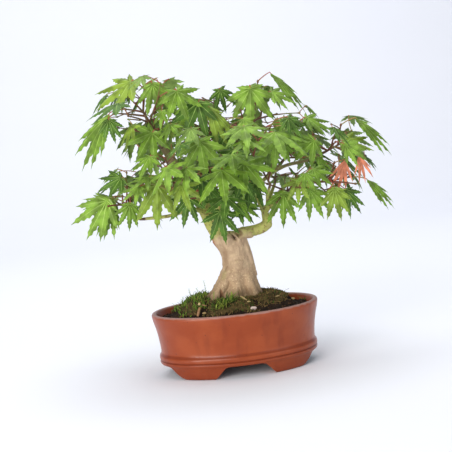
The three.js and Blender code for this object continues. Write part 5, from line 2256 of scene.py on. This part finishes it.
    def weeds(self) -> None:
        """Plants tufts of grass-like weeds and fine stalks."""
        tangle = Tangle()
        for x, y, blades, tall, width, spread in self.tufts:
            for _ in range(blades):
                place = self.surface(x + self.draw.normal(0, 2.2), y + self.draw.normal(0, 1.6))
                lean = np.append(self.draw.normal(0, 1, 2) * spread * 0.7, 0.0)
                length = tall * self.draw.uniform(0.6, 1.25)
                slot = int(self.draw.choice([Growing.BRIGHT, Growing.DEEP, Growing.YELLOW]))
                self.blade(tangle, place - UP * 0.6, lean, length, width * self.draw.uniform(0.7, 1.3), slot)
        for x, y, tall, lean in self.stalks:
            foot, aside = self.surface(x, y), np.array([lean, 0, 0])
            path = np.array([foot + UP * tall * t + aside * t * t for t in np.linspace(0, 1, 6)])
            tangle.tube(path, np.linspace(0.28, 0.14, 6), 5, Growing.BRIGHT)
            for share in (0.45, 0.6, 0.75, 0.88, 1.0):
                at = foot + UP * tall * share + aside * share * share
                for side in (-1, 1):
                    out = np.array([side * self.draw.uniform(0.7, 1.6), self.draw.normal(0, 0.6), 0])
                    self.blade(tangle, at, out, 1.5, 0.6, Growing.BRIGHT)
        finish_piece(tangle.piece("weeds", self.paints), smooth=50)

    def litter(self) -> None:
        """Lays rootlets, straw and bits of stick on the moss."""
        tangle = Tangle()
        shares = np.linspace(0, 1, 5)
        for _ in range(self.rootlets):
            angle, share = self.draw.uniform(280, 396) * RADIANS, self.draw.uniform(0.0, 0.5)
            foot = self.bed.slope(angle, share)[0] + UP * self.draw.uniform(0.2, 2.6)
            turn = self.draw.uniform(0, 2 * math.pi)
            along = np.array([math.cos(turn), math.sin(turn), self.draw.normal(0, 0.25)])
            bend = np.append(self.draw.normal(0, 1.2, 2), 0)
            run = along * self.draw.uniform(3, 8)
            path = foot + np.outer(shares, run) + np.outer(np.sin(shares * math.pi), bend)
            radii = np.full(5, self.draw.uniform(0.12, 0.22))
            tangle.tube(path, radii, 4, int(self.draw.choice([Growing.BROWN, Growing.MAT, Growing.BROWN])))
        for (x, y, lift), along, radius, slot in self.bits:
            path = self.surface(x, y) + UP * lift + np.outer(shares, along)
            tangle.tube(path, radius * np.array([0.8, 1, 0.95, 0.9, 0.6]), 7, slot)
        finish_piece(tangle.piece("litter", self.paints), smooth=50)

    def stones(self) -> None:
        """Lays a few small stones."""
        for name, x, y, radius, slot in self.pebbles:
            middle = self.surface(x, y) + UP * radius * 0.75
            ball(middle, radius)
            stone = named(name)
            choose(stone)
            bpy.ops.object.transform_apply(location=True, rotation=True, scale=True)
            place = to_frame(middle)
            local = (rows_of(stone.data) - place) / (radius * MM)
            swell = 1 + 0.2 * layered_noise(local + 3.1 * radius, 0.9, 12, 2)
            move_points(stone.data, place + local * swell[:, None] * np.array([1.3, 0.9, 0.75]) * radius * MM)
            stone.data.materials.append(self.paints[slot])
            finish_piece(stone, smooth=60)

    def build(self) -> None:
        """Makes all of it."""
        for name, pad in self.pads.items():
            self.cushion(name, pad)
        self.shoots()
        self.weeds()
        self.litter()
        self.stones()


# Trunk and boughs


@dataclass
class Wood:
    """The trunk with its root flare and all the boughs, in one skin with the bark's relief."""

    paths: dict[str, tuple[Array, Array]]
    boughs: dict[str, Bough]
    voxel: float = 0.62
    sides: int = 60
    sunk: float = 1.6
    nodule: float = 0.7
    pit: float = 0.22
    furrow: float = 0.2
    grain: float = 0.12
    flare: float = 0.35
    flares: dict[str, float] = field(default_factory=lambda: {"bough_right_low": 0.02, "bough_leader": -0.24})
    knobs: tuple[tuple[float, ...], ...] = (
        (13.2, -8.6, 120.8, 5.4), (18.4, -7, 119.4, 5.0), (11, -6.5, 114, 3.4), (-11, -1.5, 118, 4.0),
        (0, -7, 117, 4.2), (35.5, -6, 125.5, 4.6), (-21.5, -2.5, 150, 4.6), (-27.5, -3.5, 160, 4.0),
        (5, -6.5, 92, 8.5), (2, -8, 82, 8.5), (12, -6, 80, 8),
    )
    ridges: tuple[tuple[object, ...], ...] = (
        ((-1, -7, 90), (-8.6, -11, 77), (-21.5, -14, 62), 4.4, 4.6),
        ((4, -9, 86), (3, -13, 76), (2, -19, 62), 4.2, 4.6),
        ((11, -8, 84), (14, -12, 75), (18, -16, 62), 4.0, 4.6),
        ((14, 0, 86), (18.4, -2, 75), (22, -5, 62), 4.4, 5.0),
        ((10.6, -2, 116), (14.4, -2, 101), (17.6, -1.5, 80), 5.8, 5.8, 5.6),
        ((-1.4, -2, 96), (-3.8, -2.5, 106), (-10, -2, 117), 4.6, 5.0, 5.2),
        ((5.4, -8.8, 119.6), (8, -9, 115.5), (10.4, -8, 108), 2.0, 2.8, 2.2),
        ((12, 6, 84), (17, 9, 74), (22, 14, 62), 4.2, 4.8),
        ((2, 9, 84), (1, 13, 74), (0, 20, 62), 4.2, 4.8),
        ((-3.4, 5, 88), (-9, 9, 76), (-17.5, 14, 62), 4.2, 4.8),
        ((-3.4, -1, 86), (-9.2, -2, 76), (-22.5, -3, 62), 4.4, 4.8),
    )
    cuts: tuple[tuple[object, ...], ...] = (
        ((4.4, -11, 117.6), (1.3, 6, 4.6), -30, 3.0),
        ((7.8, -10, 120.6), (1.2, 8, 4.4), -24, 2.8),
        ((19, -12, 114.4), (5, 6, 1.2), 12, 1.6),
        ((-12, -17, 69), (1.5, 6, 7), 0, 2.2),
        ((-28.5, -6, 160), (1.3, 3, 1.3), 0, 1.2),
        ((3.5, -20, 68), (1.6, 6, 6), 0, 2.0),
        ((14, -18, 68), (1.5, 6, 5), 0, 1.6),
    )

    def trunk(self) -> Thing:
        """Shapes the closed trunk ring by ring from a disc, from just under the soil to its fork.

        Returns:
            The trunk.
        """
        foot = TRUNK_SECTIONS[0]
        wide, deep = foot.half_width + 1.2, foot.half_depth + 1
        start = TrunkSection(foot.z - self.sunk, foot.x, wide, deep, foot.ridge)
        sections = [start, *TRUNK_SECTIONS, TrunkSection(123, -3.4, 5.8, 5.2, 0)]
        trunk, _ = disc("wood", self.sides, start.half_width * MM, start.z)
        for low, high in zip(sections, sections[1:]):
            draw_up(high.z - low.z)
        outward(trunk)
        points = rows_of(trunk.data)
        local = (points - POT_MIDDLE) / MM
        angles = np.arctan2(local[:, 1], local[:, 0])
        for section in sections:
            level = np.abs(local[:, 2] - section.z) < 0.01
            points[level] = to_frame(trunk_points(section, angles[level]))
        move_points(trunk.data, points)
        applied(trunk, "SUBSURF", levels=1, render_levels=1)
        return trunk

    def limb(self, name: str) -> Thing:
        """Makes a bough with its true taper, a flare or neck at its root and slight swellings.

        Args:
            name: The bough's name.

        Returns:
            The bough.
        """
        bough = self.boughs[name]
        shares = np.linspace(0, 1, 33)
        along = shares * SmoothCurve(bough.points).length()
        radii = between(bough.width, shares) / 2
        radii *= 1 + self.flares.get(name, self.flare) * np.exp(-((along / 6) ** 2))
        radii *= 1 + 0.05 * np.sin(along / 4.1 + len(name))
        return self.cane(name, bough.points, radii)

    def cane(self, name: str, points: Sequence[Sequence[float]], radii: Array) -> Thing:
        """Makes a round piece along a smooth curve.

        Args:
            name: Its name.
            points: The curve's points in millimetres.
            radii: Its radii from its start to its end, spread evenly.

        Returns:
            The piece as a closed mesh.
        """
        curve = SmoothCurve(points)
        steps = max(int(curve.length() / 2.5), 8)
        shares = np.linspace(0, 1, steps + 1)
        path = to_frame([curve.at(float(share)) for share in shares])
        data = bpy.data.curves.new(name, "CURVE")
        data.dimensions = "3D"
        data.bevel_depth = MM
        data.bevel_resolution = 3
        data.use_fill_caps = True
        line = data.splines.new("POLY")
        line.points.add(steps)
        widths = np.interp(shares, np.linspace(0, 1, len(radii)), radii)
        for point, place, radius in zip(line.points, path, widths):
            point.co = (*place, 1)
            point.radius = float(radius)
        choose(linked(name, data))
        bpy.ops.object.convert(target="MESH")
        return bpy.context.object

    def relief(self, local: Array) -> Array:
        """Works out how far the bark stands out.

        Args:
            local: Points of the wood in millimetres.

        Returns:
            The height at each point in millimetres.
        """
        z = local[:, 2]
        on_trunk = 1 - smooth_share(z, 116, 127)
        low = 1 - smooth_share(z, 84, 108)
        knobs = np.maximum(layered_noise(local, 2.4, 3, 2), 0) ** 1.2
        pits = np.minimum(layered_noise(local, (3, 3, 5), 31, 3), 0)
        furrows = layered_noise(local, (3, 3, 16), 11, 3)
        grain = layered_noise(local, (1, 1, 2), 19, 2)
        rings = layered_noise(local, 2.2, 27, 2) * 0.14 * (1 - on_trunk)
        rough = self.nodule * knobs * (0.25 + low) + self.pit * pits + self.furrow * furrows
        return rough * on_trunk + self.grain * grain + rings

    def gash(self, local: Array) -> Array:
        """Works out how deep the dark cuts at the fork and the root grooves go.

        Args:
            local: Points of the wood in millimetres.

        Returns:
            The depth at each point in millimetres.
        """
        depth = np.zeros(len(local))
        for middle, size, turn, deep in self.cuts:
            out = local - np.array(middle)
            cosine, sine = math.cos(turn * RADIANS), math.sin(turn * RADIANS)
            x, z = out[:, 0].copy(), out[:, 2].copy()
            out[:, 0], out[:, 2] = x * cosine - z * sine, x * sine + z * cosine
            depth += deep * (1 - smooth_share(np.linalg.norm(out / np.array(size), axis=1), 0.3, 1.3))
        return depth

    def build(self, bark: Paint) -> Thing:
        """Joins trunk, boughs, knobs and root ridges into one skin and gives it its relief.

        Args:
            bark: Its material.

        Returns:
            The wood.
        """
        parts = [self.trunk(), *(self.limb(name) for name in self.boughs)]
        parts += [ball((x, y, z), radius) for x, y, z, radius in self.knobs]
        parts += [self.cane(f"root_{k}", run[:3], np.array(run[3:])) for k, run in enumerate(self.ridges)]
        choose(*parts)
        bpy.ops.object.join()
        wood = named("wood")
        bpy.ops.object.transform_apply(location=True, rotation=True, scale=True)
        wood.data.remesh_voxel_size = self.voxel * MM
        wood.data.use_remesh_fix_poles = False
        wood.data.use_remesh_preserve_volume = True
        bpy.ops.object.voxel_remesh()
        applied(wood, "SMOOTH", factor=0.6, iterations=5)
        points = rows_of(wood.data)
        local = (points - POT_MIDDLE) / MM
        lift = self.relief(local) - self.gash(local)
        move_points(wood.data, points + rows_of(wood.data, "normal") * (lift * MM)[:, None])
        wood.data.materials.clear()
        wood.data.materials.append(bark)
        return finish_piece(wood, ["trunk", *self.boughs], 180)


# Leaves and twigs


@dataclass(frozen=True)
class LobeCut:
    """How one lobe is cut: its half width, its teeth on each side, and their size."""

    half_width: float
    teeth: int
    tooth: float


class Side(IntEnum):
    """The materials of a leaf's faces."""

    TOP = 0
    VEIN = 1
    UNDER = 2


@dataclass
class LeafShape:
    """A palmate leaf of length 1 round its hub: toothed lobes, folded along their veins, and closed below.

    The seed settles its small differences. Fewer is the number of teeth left out on each side of a lobe.
    Closed is how far the lobes are spread, from 0 for shut to 1, and slim how wide they are against the
    usual. A young leaf is folded, with longer lobes, hardly a tooth and no small lobes.
    """

    seed: int
    fewer: int = 0
    closed: float = 1.0
    slim: float = 1.0
    folded: bool = False
    depth: float = 0.24
    fold: float = 0.05
    thickness: float = 0.011
    vein: float = 0.009
    points: list[tuple[float, float, float]] = field(default_factory=list)
    faces: list[list[int]] = field(default_factory=list)
    slots: list[int] = field(default_factory=list)

    def __post_init__(self) -> None:
        """Cuts the leaf."""
        self.draw = np.random.default_rng(self.seed)
        self.hub_top = self.point(0, 0, 0.006)
        self.hub_under = self.point(0, 0, -self.thickness)
        self.base = self.point(0, -HUB * 0.8, 0)
        self.narrow = (0.55 + 0.45 * self.closed) * self.slim
        self.lobes = self.spread_lobes()
        self.sinuses = [self.sinus(one, other) for one, other in zip(self.lobes, self.lobes[1:])]
        for number, lobe in enumerate(self.lobes):
            self.cut_lobe(number, *lobe)

    def point(self, x: float, y: float, z: float) -> int:
        """Adds a point by its sideways place, its lengthways place and its lift, and gives its number."""
        self.points.append((x, y, z))
        return len(self.points) - 1

    def face(self, corners: Sequence[int], side: Side) -> None:
        """Adds a face, without corners that follow themselves."""
        self.faces.append([corner for place, corner in enumerate(corners) if corner != corners[place - 1]])
        self.slots.append(side.value)

    def spread_lobes(self) -> list[tuple[float, float, LobeCut]]:
        """Lists the lobes round the leaf.

        Returns:
            The angle in radians, the length and the cut of each.
        """
        lobes = []
        longer, smaller = (1.32, 0.2) if self.folded else (1, 1)
        for lobe, cut in zip(LOBES, LOBE_CUTS):
            if self.folded and lobe.angle > 90:
                continue
            for side in (-1, 1) if lobe.angle else (1,):
                angle = side * lobe.angle * self.closed + self.draw.normal(0, 2.5)
                length = lobe.length * self.draw.uniform(0.93, 1.06) * longer
                teeth = max(cut.teeth - self.fewer, 1)
                own = LobeCut(cut.half_width * self.narrow, teeth, cut.tooth * smaller)
                lobes.append((angle * RADIANS, length, own))
        return sorted(lobes, key=lambda entry: entry[0])

    def sinus(
        self, one: tuple[float, float, LobeCut], other: tuple[float, float, LobeCut]
    ) -> tuple[Array, int]:
        """Places the point between two lobes.

        Args:
            one: The first lobe.
            other: The next.

        Returns:
            Its flat place and its number.
        """
        angle = (one[0] + other[0]) / 2
        far = self.depth * self.narrow * min(one[1], other[1]) ** 0.5 * self.draw.uniform(0.9, 1.1)
        flat = np.array([far * math.sin(angle), far * math.cos(angle)])
        return flat, self.point(*flat.tolist(), -self.fold * 0.8)

    def cut_lobe(self, number: int, angle: float, length: float, cut: LobeCut) -> None:
        """Adds one lobe: its vein, a toothed strip on each side of it, and its underside.

        Args:
            number: The lobe's place in the row.
            angle: Its angle in radians.
            length: Its length.
            cut: How it is cut.
        """
        ahead = np.array([math.sin(angle), math.cos(angle)])
        tip = self.point(*(ahead * length), -0.004)
        low = self.point(*(ahead * length * 0.5), -self.thickness)
        places = [0.16 + 0.66 * k / cut.teeth for k in range(cut.teeth)]
        veins: dict[int, list[int]] = {}
        for side in (-1, 1):
            aside = np.array([ahead[1], -ahead[0]]) * side
            wide = aside * self.vein * 0.5
            inner = [self.point(*(ahead * length * at + wide * (1.3 - at)), 0.004) for at in places]
            veins[side] = [self.hub_top, *inner, tip]
            neighbour = number + (0 if side > 0 else -1)
            between_lobes = 0 <= neighbour < len(self.sinuses)
            flat, start = np.array([0.0, -HUB * 0.8]), self.base
            if between_lobes:
                flat, start = self.sinuses[neighbour]
            margin = [start, *self.margin(flat, ahead, aside, length, cut), tip]
            for k, (one, other) in enumerate(zip(veins[side], veins[side][1:])):
                self.face([one, other, *margin[2 * k : 2 * k + 3][::-1]][::side], Side.TOP)
            self.face([self.hub_under, low, *margin[::-1]][::-side], Side.UNDER)
        for left, right, next_left, next_right in zip(veins[-1], veins[1], veins[-1][1:], veins[1][1:]):
            self.face([left, next_left, next_right, right], Side.VEIN)

    def margin(self, sinus: Array, ahead: Array, aside: Array, length: float, cut: LobeCut) -> list[int]:
        """Cuts one side of a lobe's margin.

        Args:
            sinus: The flat place that it starts from.
            ahead: The lobe's direction.
            aside: The direction of this side.
            length: The lobe's length.
            cut: The lobe's cut.

        Returns:
            The numbers of the margin's points between its start and the tip.
        """
        a0, b0 = float(sinus @ ahead), max(float(sinus @ aside), 0.01)
        reach, wide = length - a0, cut.half_width
        shoulder, neck = (a0 + 0.3 * reach, wide * 1.35), (a0 + 0.62 * reach, wide * 0.62)
        control = np.array([(a0, b0), shoulder, neck, (length, 0)])
        margin = []
        for k in range(1, 2 * cut.teeth + 1):
            t = k / (2 * cut.teeth + 1.6)
            a, b = np.array([(1 - t) ** 3, 3 * t * (1 - t) ** 2, 3 * t * t * (1 - t), t**3]) @ control
            out = (1 - 0.4 * t) * cut.tooth * self.draw.uniform(0.75, 1.25)
            a, b = (a + out * 0.8, b + out * 0.8) if k % 2 else (a - out * 0.1, b - out * 0.4)
            flat = ahead * a + aside * max(b, 0.006)
            margin.append(self.point(*flat, -self.fold * min(b / 0.14, 1.3)))
        return margin


LOBE_CUTS = [
    LobeCut(0.125, 5, 0.026),
    LobeCut(0.12, 5, 0.025),
    LobeCut(0.1, 4, 0.022),
    LobeCut(0.058, 2, 0.014),
]


class Foliage:
    """The leaves, twigs and leaf stalks of the grown crown, as joined meshes."""

    # Half sizes of the crown's core, whose leaves mostly take painted shade.
    inner = (78, 58, 36)
    tints = list(Tint)
    rows = ((1.0, 6), (0.84, 6), (0.62, 4), (0.32, 4))
    bud = np.array([(-1.6, 0.5), (-0.8, 0.95), (0, 1.1), (0.9, 0.8), (1.8, 0.15)])
    stem_taper = ((0.3, 0.62), (0.55, 0.5), (0.8, 0.4), (1, 0))

    def __init__(self, crown: Crown) -> None:
        """Takes the grown crown, and cuts the shapes of the leaves."""
        self.crown = crown
        self.young_leaves = crown.growth.leaves[: len(YOUNG_LEAVES)]
        self.draw = np.random.default_rng(9)
        self.shapes = {
            spread: [LeafShape(100 + 10 * row + k, closed=spread) for k in range(count)]
            for row, (spread, count) in enumerate(self.rows)
        }
        self.fine_shapes = [LeafShape(200 + k, fewer=2, closed=0.85) for k in range(6)]
        young = {"fewer": 2, "closed": 0.42, "slim": 0.94, "folded": True}
        self.young_shapes = [LeafShape(300 + k, **young) for k in range(2)]

    def placed(self, leaf: Leaf, shape: LeafShape, curl: float = 0.0) -> Array:
        """Places a leaf's points in space.

        Args:
            leaf: The leaf.
            shape: Its shape.
            curl: How far its lobes fold down, besides its own droop.

        Returns:
            The points in millimetres.
        """
        points = np.array(shape.points)
        far = np.linalg.norm(points[:, :2], axis=1)
        wave = 0.012 * np.sin(points[:, 0] * 9 + leaf.length) * far
        rise = points[:, 2] + wave - (leaf.droop + curl) * far * far
        flat = np.outer(points[:, 0], leaf.across) + np.outer(points[:, 1], leaf.along)
        return leaf.hub + (flat + np.outer(rise, leaf.normal)) * leaf.length

    def leaves(self, name: str, fine: bool, paints: Sequence[Paint], nodes: Sequence[str] = ()) -> None:
        """Joins the leaves of the rule's twigs or of the finer twigs.

        Args:
            name: The piece's name.
            fine: Whether these are the leaves of the finer twigs.
            paints: The tints, then the vein and the underside.
            nodes: The nodes that they stand for.
        """
        apart, marked = ({id(leaf) for leaf in some} for some in (self.young_leaves, self.crown.marked))
        tangle = Tangle()
        for leaf in self.crown.growth.leaves:
            if id(leaf) in apart or leaf.fine is not fine:
                continue
            row = min(self.shapes, key=lambda spread: abs(spread - leaf.spread))
            shapes = self.fine_shapes if fine else self.shapes[row]
            shape = shapes[int(self.draw.integers(len(shapes)))]
            share = drawing(leaf.spray * 31 + 7)()
            # Most leaves in the crown's core, except those that stand out, take the DEEP tint: painted shade
            # inside the crown.
            inner = np.linalg.norm((leaf.node - np.array(CROWN_MIDDLE)) / np.array(self.inner)) < 1
            dark = inner and id(leaf) not in marked and share < 0.7
            tint = Tint.DEEP if dark else Tint.dealt(share)
            slots = [self.tints.index(tint), len(self.tints), len(self.tints) + 1]
            points = self.placed(leaf, shape, 0.05 * self.draw.random())
            tangle.add(points, shape.faces, [slots[slot] for slot in shape.slots])
        finish_piece(tangle.piece(name, paints), nodes, 35)

    def young(self, paints: Sequence[Paint]) -> None:
        """Joins the young leaves, which hang folded, in the materials of top, vein and underside."""
        tangle = Tangle()
        for leaf, shape in zip(self.young_leaves, self.young_shapes):
            tangle.add(self.placed(leaf, shape, 0.05), shape.faces, shape.slots)
        finish_piece(tangle.piece("young_leaves", paints), smooth=35)

    def bent(self, start: Array, end: Array, sag: float, steps: int = 6) -> Array:
        """Gives a gently bent path.

        Args:
            start: Its start.
            end: Its end.
            sag: How far its middle moves, as a share of its length.
            steps: How many points it has.

        Returns:
            The points.
        """
        shares = np.linspace(0, 1, steps)
        length = float(np.linalg.norm(end - start))
        side = unit(np.cross(end - start, UP) + 1e-6)
        aside = side * self.draw.normal(0, 0.025) * length + UP * sag * length
        return start + np.outer(shares, end - start) + np.outer(np.sin(shares * math.pi), aside)

    def twigs(self, paints: Sequence[Paint]) -> None:
        """Joins the stems and twigs, thinner towards their ends, with swollen nodes.

        Args:
            paints: The brown, the red-brown and the green twigs' materials.
        """
        tangle = Tangle()
        for name, (start, bend, end) in self.crown.stems.items():
            path, radii = self.crown.paths[self.crown.masses[name].bough]
            tip = float(radii[-1])
            back = path[-1] - unit(path[-1] - path[-2]) * 2.5
            points = np.array([back, start, bend, *(bend + (end - bend) * t for t, _ in self.stem_taper)])
            taper = [tip * share for share in (0.96, 0.95, 0.82)]
            taper += [max(tip * s, 0.75 if s else 0.7) for _, s in self.stem_taper]
            tangle.tube(points, taper, 8, 0)
        for twig in self.crown.growth.twigs:
            thick, thin, size = (0.62, 0.42, 0.8) if twig.fine else (0.95, 0.58, 1)
            path = self.bent(twig.root, twig.end, 0.015)
            slot = 2 if twig.fine and self.draw.random() < 0.5 else 1
            tangle.tube(path, np.linspace(thick, thin, len(path)), 6, slot)
            bud = twig.end + np.outer(self.bud[:, 0], unit(twig.end - twig.root))
            tangle.tube(bud, self.bud[:, 1] * size, 6, slot)
        finish_piece(tangle.piece("twigs", paints), smooth=60)

    def petioles(self, paints: Sequence[Paint]) -> None:
        """Joins the leaf stalks, in the materials of the red and the green ones."""
        tangle = Tangle()
        for leaf in self.crown.growth.leaves:
            path = np.vstack([self.bent(leaf.node, leaf.base, 0.05, 7), leaf.hub - leaf.normal * 0.25])
            thick = 0.36 if leaf.fine else 0.46
            radii = np.append(np.linspace(thick * 1.25, thick, 7), thick * 0.8)
            tangle.tube(path, radii, 5, int(self.draw.random() < 0.4))
        finish_piece(tangle.piece("petioles", paints), smooth=60)

    def build(self) -> None:
        """Makes the leaves, twigs and stalks, which replace all the masses."""
        skins = [LeafSkin("leaf_" + tint.name.lower(), tint.value[0]) for tint in Tint]
        skins += [LeafSkin("leaf_vein", (158, 186, 96)), LeafSkin("leaf_underside", (142, 172, 92), 0.6)]
        paints = [skin.make() for skin in skins]
        self.leaves("leaves", False, paints, list(self.crown.masses))
        self.leaves("leaves_fine", True, paints)
        top, vein = LeafSkin("young_leaf", (224, 138, 104)), LeafSkin("young_vein", (236, 160, 120))
        self.young([skin.make() for skin in (top, vein, LeafSkin("young_underside", (220, 126, 110), 0.55))])
        brown = Skin("twig_brown", (112, 88, 58), (92, 64, 44))
        red = Skin("twig_red", (120, 66, 46), (104, 84, 50))
        green = Skin("twig_green", (118, 128, 58), (128, 98, 56))
        self.twigs([brown.make(), red.make(), green.make()])
        red = Skin("petiole_red", (170, 72, 58), (150, 96, 60))
        green = Skin("petiole_green", (140, 146, 66), (160, 110, 66))
        self.petioles([red.make(), green.make()])


# Studio


@dataclass
class Studio:
    """The camera, the lights and the pale floor that curves up into a backdrop."""

    view: View = field(default_factory=View)
    sensor: float = 36.0
    floor: Colour = (238, 240, 246)
    sky: Colour = (244, 246, 252)
    aim: Triple = (0, 0, 0.13)

    def add_camera(self) -> None:
        """Sets up the camera."""
        data = bpy.data.cameras.new("camera")
        data.sensor_width = self.sensor
        data.lens = self.sensor * self.view.focal_pixels / self.view.image
        data.clip_start = 0.05
        data.clip_end = 20
        camera = linked("camera", data)
        matrix = Matrix(self.view.axes().T.tolist()).to_4x4()
        matrix.translation = Vector(to_frame(self.view.eye()))
        camera.matrix_world = matrix
        bpy.context.scene.camera = camera

    def add_light(
        self, name: str, place: Triple, size: float, power: float, colour: Colour, aim: Triple | None = None
    ) -> None:
        """Adds a soft square light.

        Args:
            name: Its name.
            place: Its place in metres round the pot.
            size: Its side in metres.
            power: Its power in watts.
            colour: Its colour.
            aim: The place that it looks at, if that isn't the plant.
        """
        data = bpy.data.lights.new(name, "AREA")
        data.shape = "SQUARE"
        data.size = size
        data.energy = power
        data.color = linear(colour)[:3]
        light = linked(name, data)
        light.location = Vector(POT_MIDDLE + np.array(place))
        look = Vector(POT_MIDDLE + np.array(aim or self.aim)) - light.location
        light.rotation_euler = look.to_track_quat("-Z", "Y").to_euler()

    def add_floor(self) -> None:
        """Lays the floor and bends it up into the backdrop."""
        bend = [a * RADIANS for a in range(15, 91, 15)]
        round_part = [(1.2 + 0.8 * math.sin(a), 0.8 - 0.8 * math.cos(a)) for a in bend]
        line = [(-3.0, 0.0), (1.2, 0.0), *round_part, (2.0, 5.0)]
        points = np.array([(side * 5.0, y, z) for y, z in line for side in (-1, 1)]) + POT_MIDDLE
        faces = [[2 * k, 2 * k + 1, 2 * k + 3, 2 * k + 2] for k in range(len(line) - 1)]
        recipe = Recipe("studio_floor", 0.9, 0.1)
        recipe.plug(self.floor, recipe.shader["Base Color"])
        floor = mesh_piece("floor", points, faces, [recipe.material])
        choose(floor)
        bpy.ops.object.shade_smooth()

    def build(self) -> None:
        """Sets up the studio."""
        self.add_camera()
        self.add_floor()
        self.add_light("key", (-0.75, -1.35, 0.62), 0.9, 16, (255, 250, 244))
        self.add_light("window", (-1.05, -0.9, 0.2), 0.32, 4, (255, 252, 250))
        self.add_light("fill", (1.2, -1.2, 0.5), 1.2, 5, (244, 248, 255))
        self.add_light("overhead", (0.1, 0.1, 1.6), 1.4, 9, (255, 255, 255))
        self.add_light("backdrop", (0, 0.7, 1.9), 1.6, 17, (250, 252, 255), (0, 2.0, 0.5))
        scene = bpy.context.scene
        scene.view_settings.view_transform = "Standard"
        scene.world = scene.world or bpy.data.worlds.new("studio_world")
        scene.world.use_nodes = True
        background = scene.world.node_tree.nodes["Background"].inputs
        background["Color"].default_value = linear(self.sky)
        background["Strength"].default_value = 0.42


def main() -> None:
    """Builds the whole scene."""
    Studio().build()
    pot = Pot()
    pot.build(PotGlaze().make(), RawClay().make())
    bed = SoilBed(pot)
    dark = Earth("damp_soil", (50, 36, 26), (28, 19, 13), 0.008, 0.0014, 0.0006)
    brown = Earth("brown_crumb", (88, 64, 44), (58, 42, 30), 0.006, 0.001, 0.0004)
    bed.build(dark.make(), brown.make())
    growing = (
        Earth("moss_bright", (128, 164, 60), (102, 138, 46), roughness=0.85),
        Earth("moss_deep", (82, 106, 42), (62, 84, 32), roughness=0.85),
        Earth("moss_yellow", (160, 174, 80), (134, 150, 60), roughness=0.85),
        Earth("moss_brown", (142, 118, 74), (104, 84, 52)),
        Earth("straw", (200, 178, 128), (164, 138, 92), depth=0.0002, roughness=0.7),
        Earth("pale_stone", (230, 212, 204), (204, 184, 176), 0.003, 0.0006, 0.0002, 0.7),
        Earth("stick", (172, 132, 96), (134, 96, 66), 0.004, 0.0008, roughness=0.8),
        Earth("moss_mat", (88, 74, 42), (56, 47, 27), 0.005, 0.0009, 0.0004),
    )
    MossAndWeeds(bed, [earth.make() for earth in growing]).build()
    crown = Crown(BOUGHS, MASSES, FineTwigs())
    Wood(crown.paths, BOUGHS).build(Bark().make())
    crown.grow()
    Foliage(crown).build()


if __name__ == "__main__":
    main()
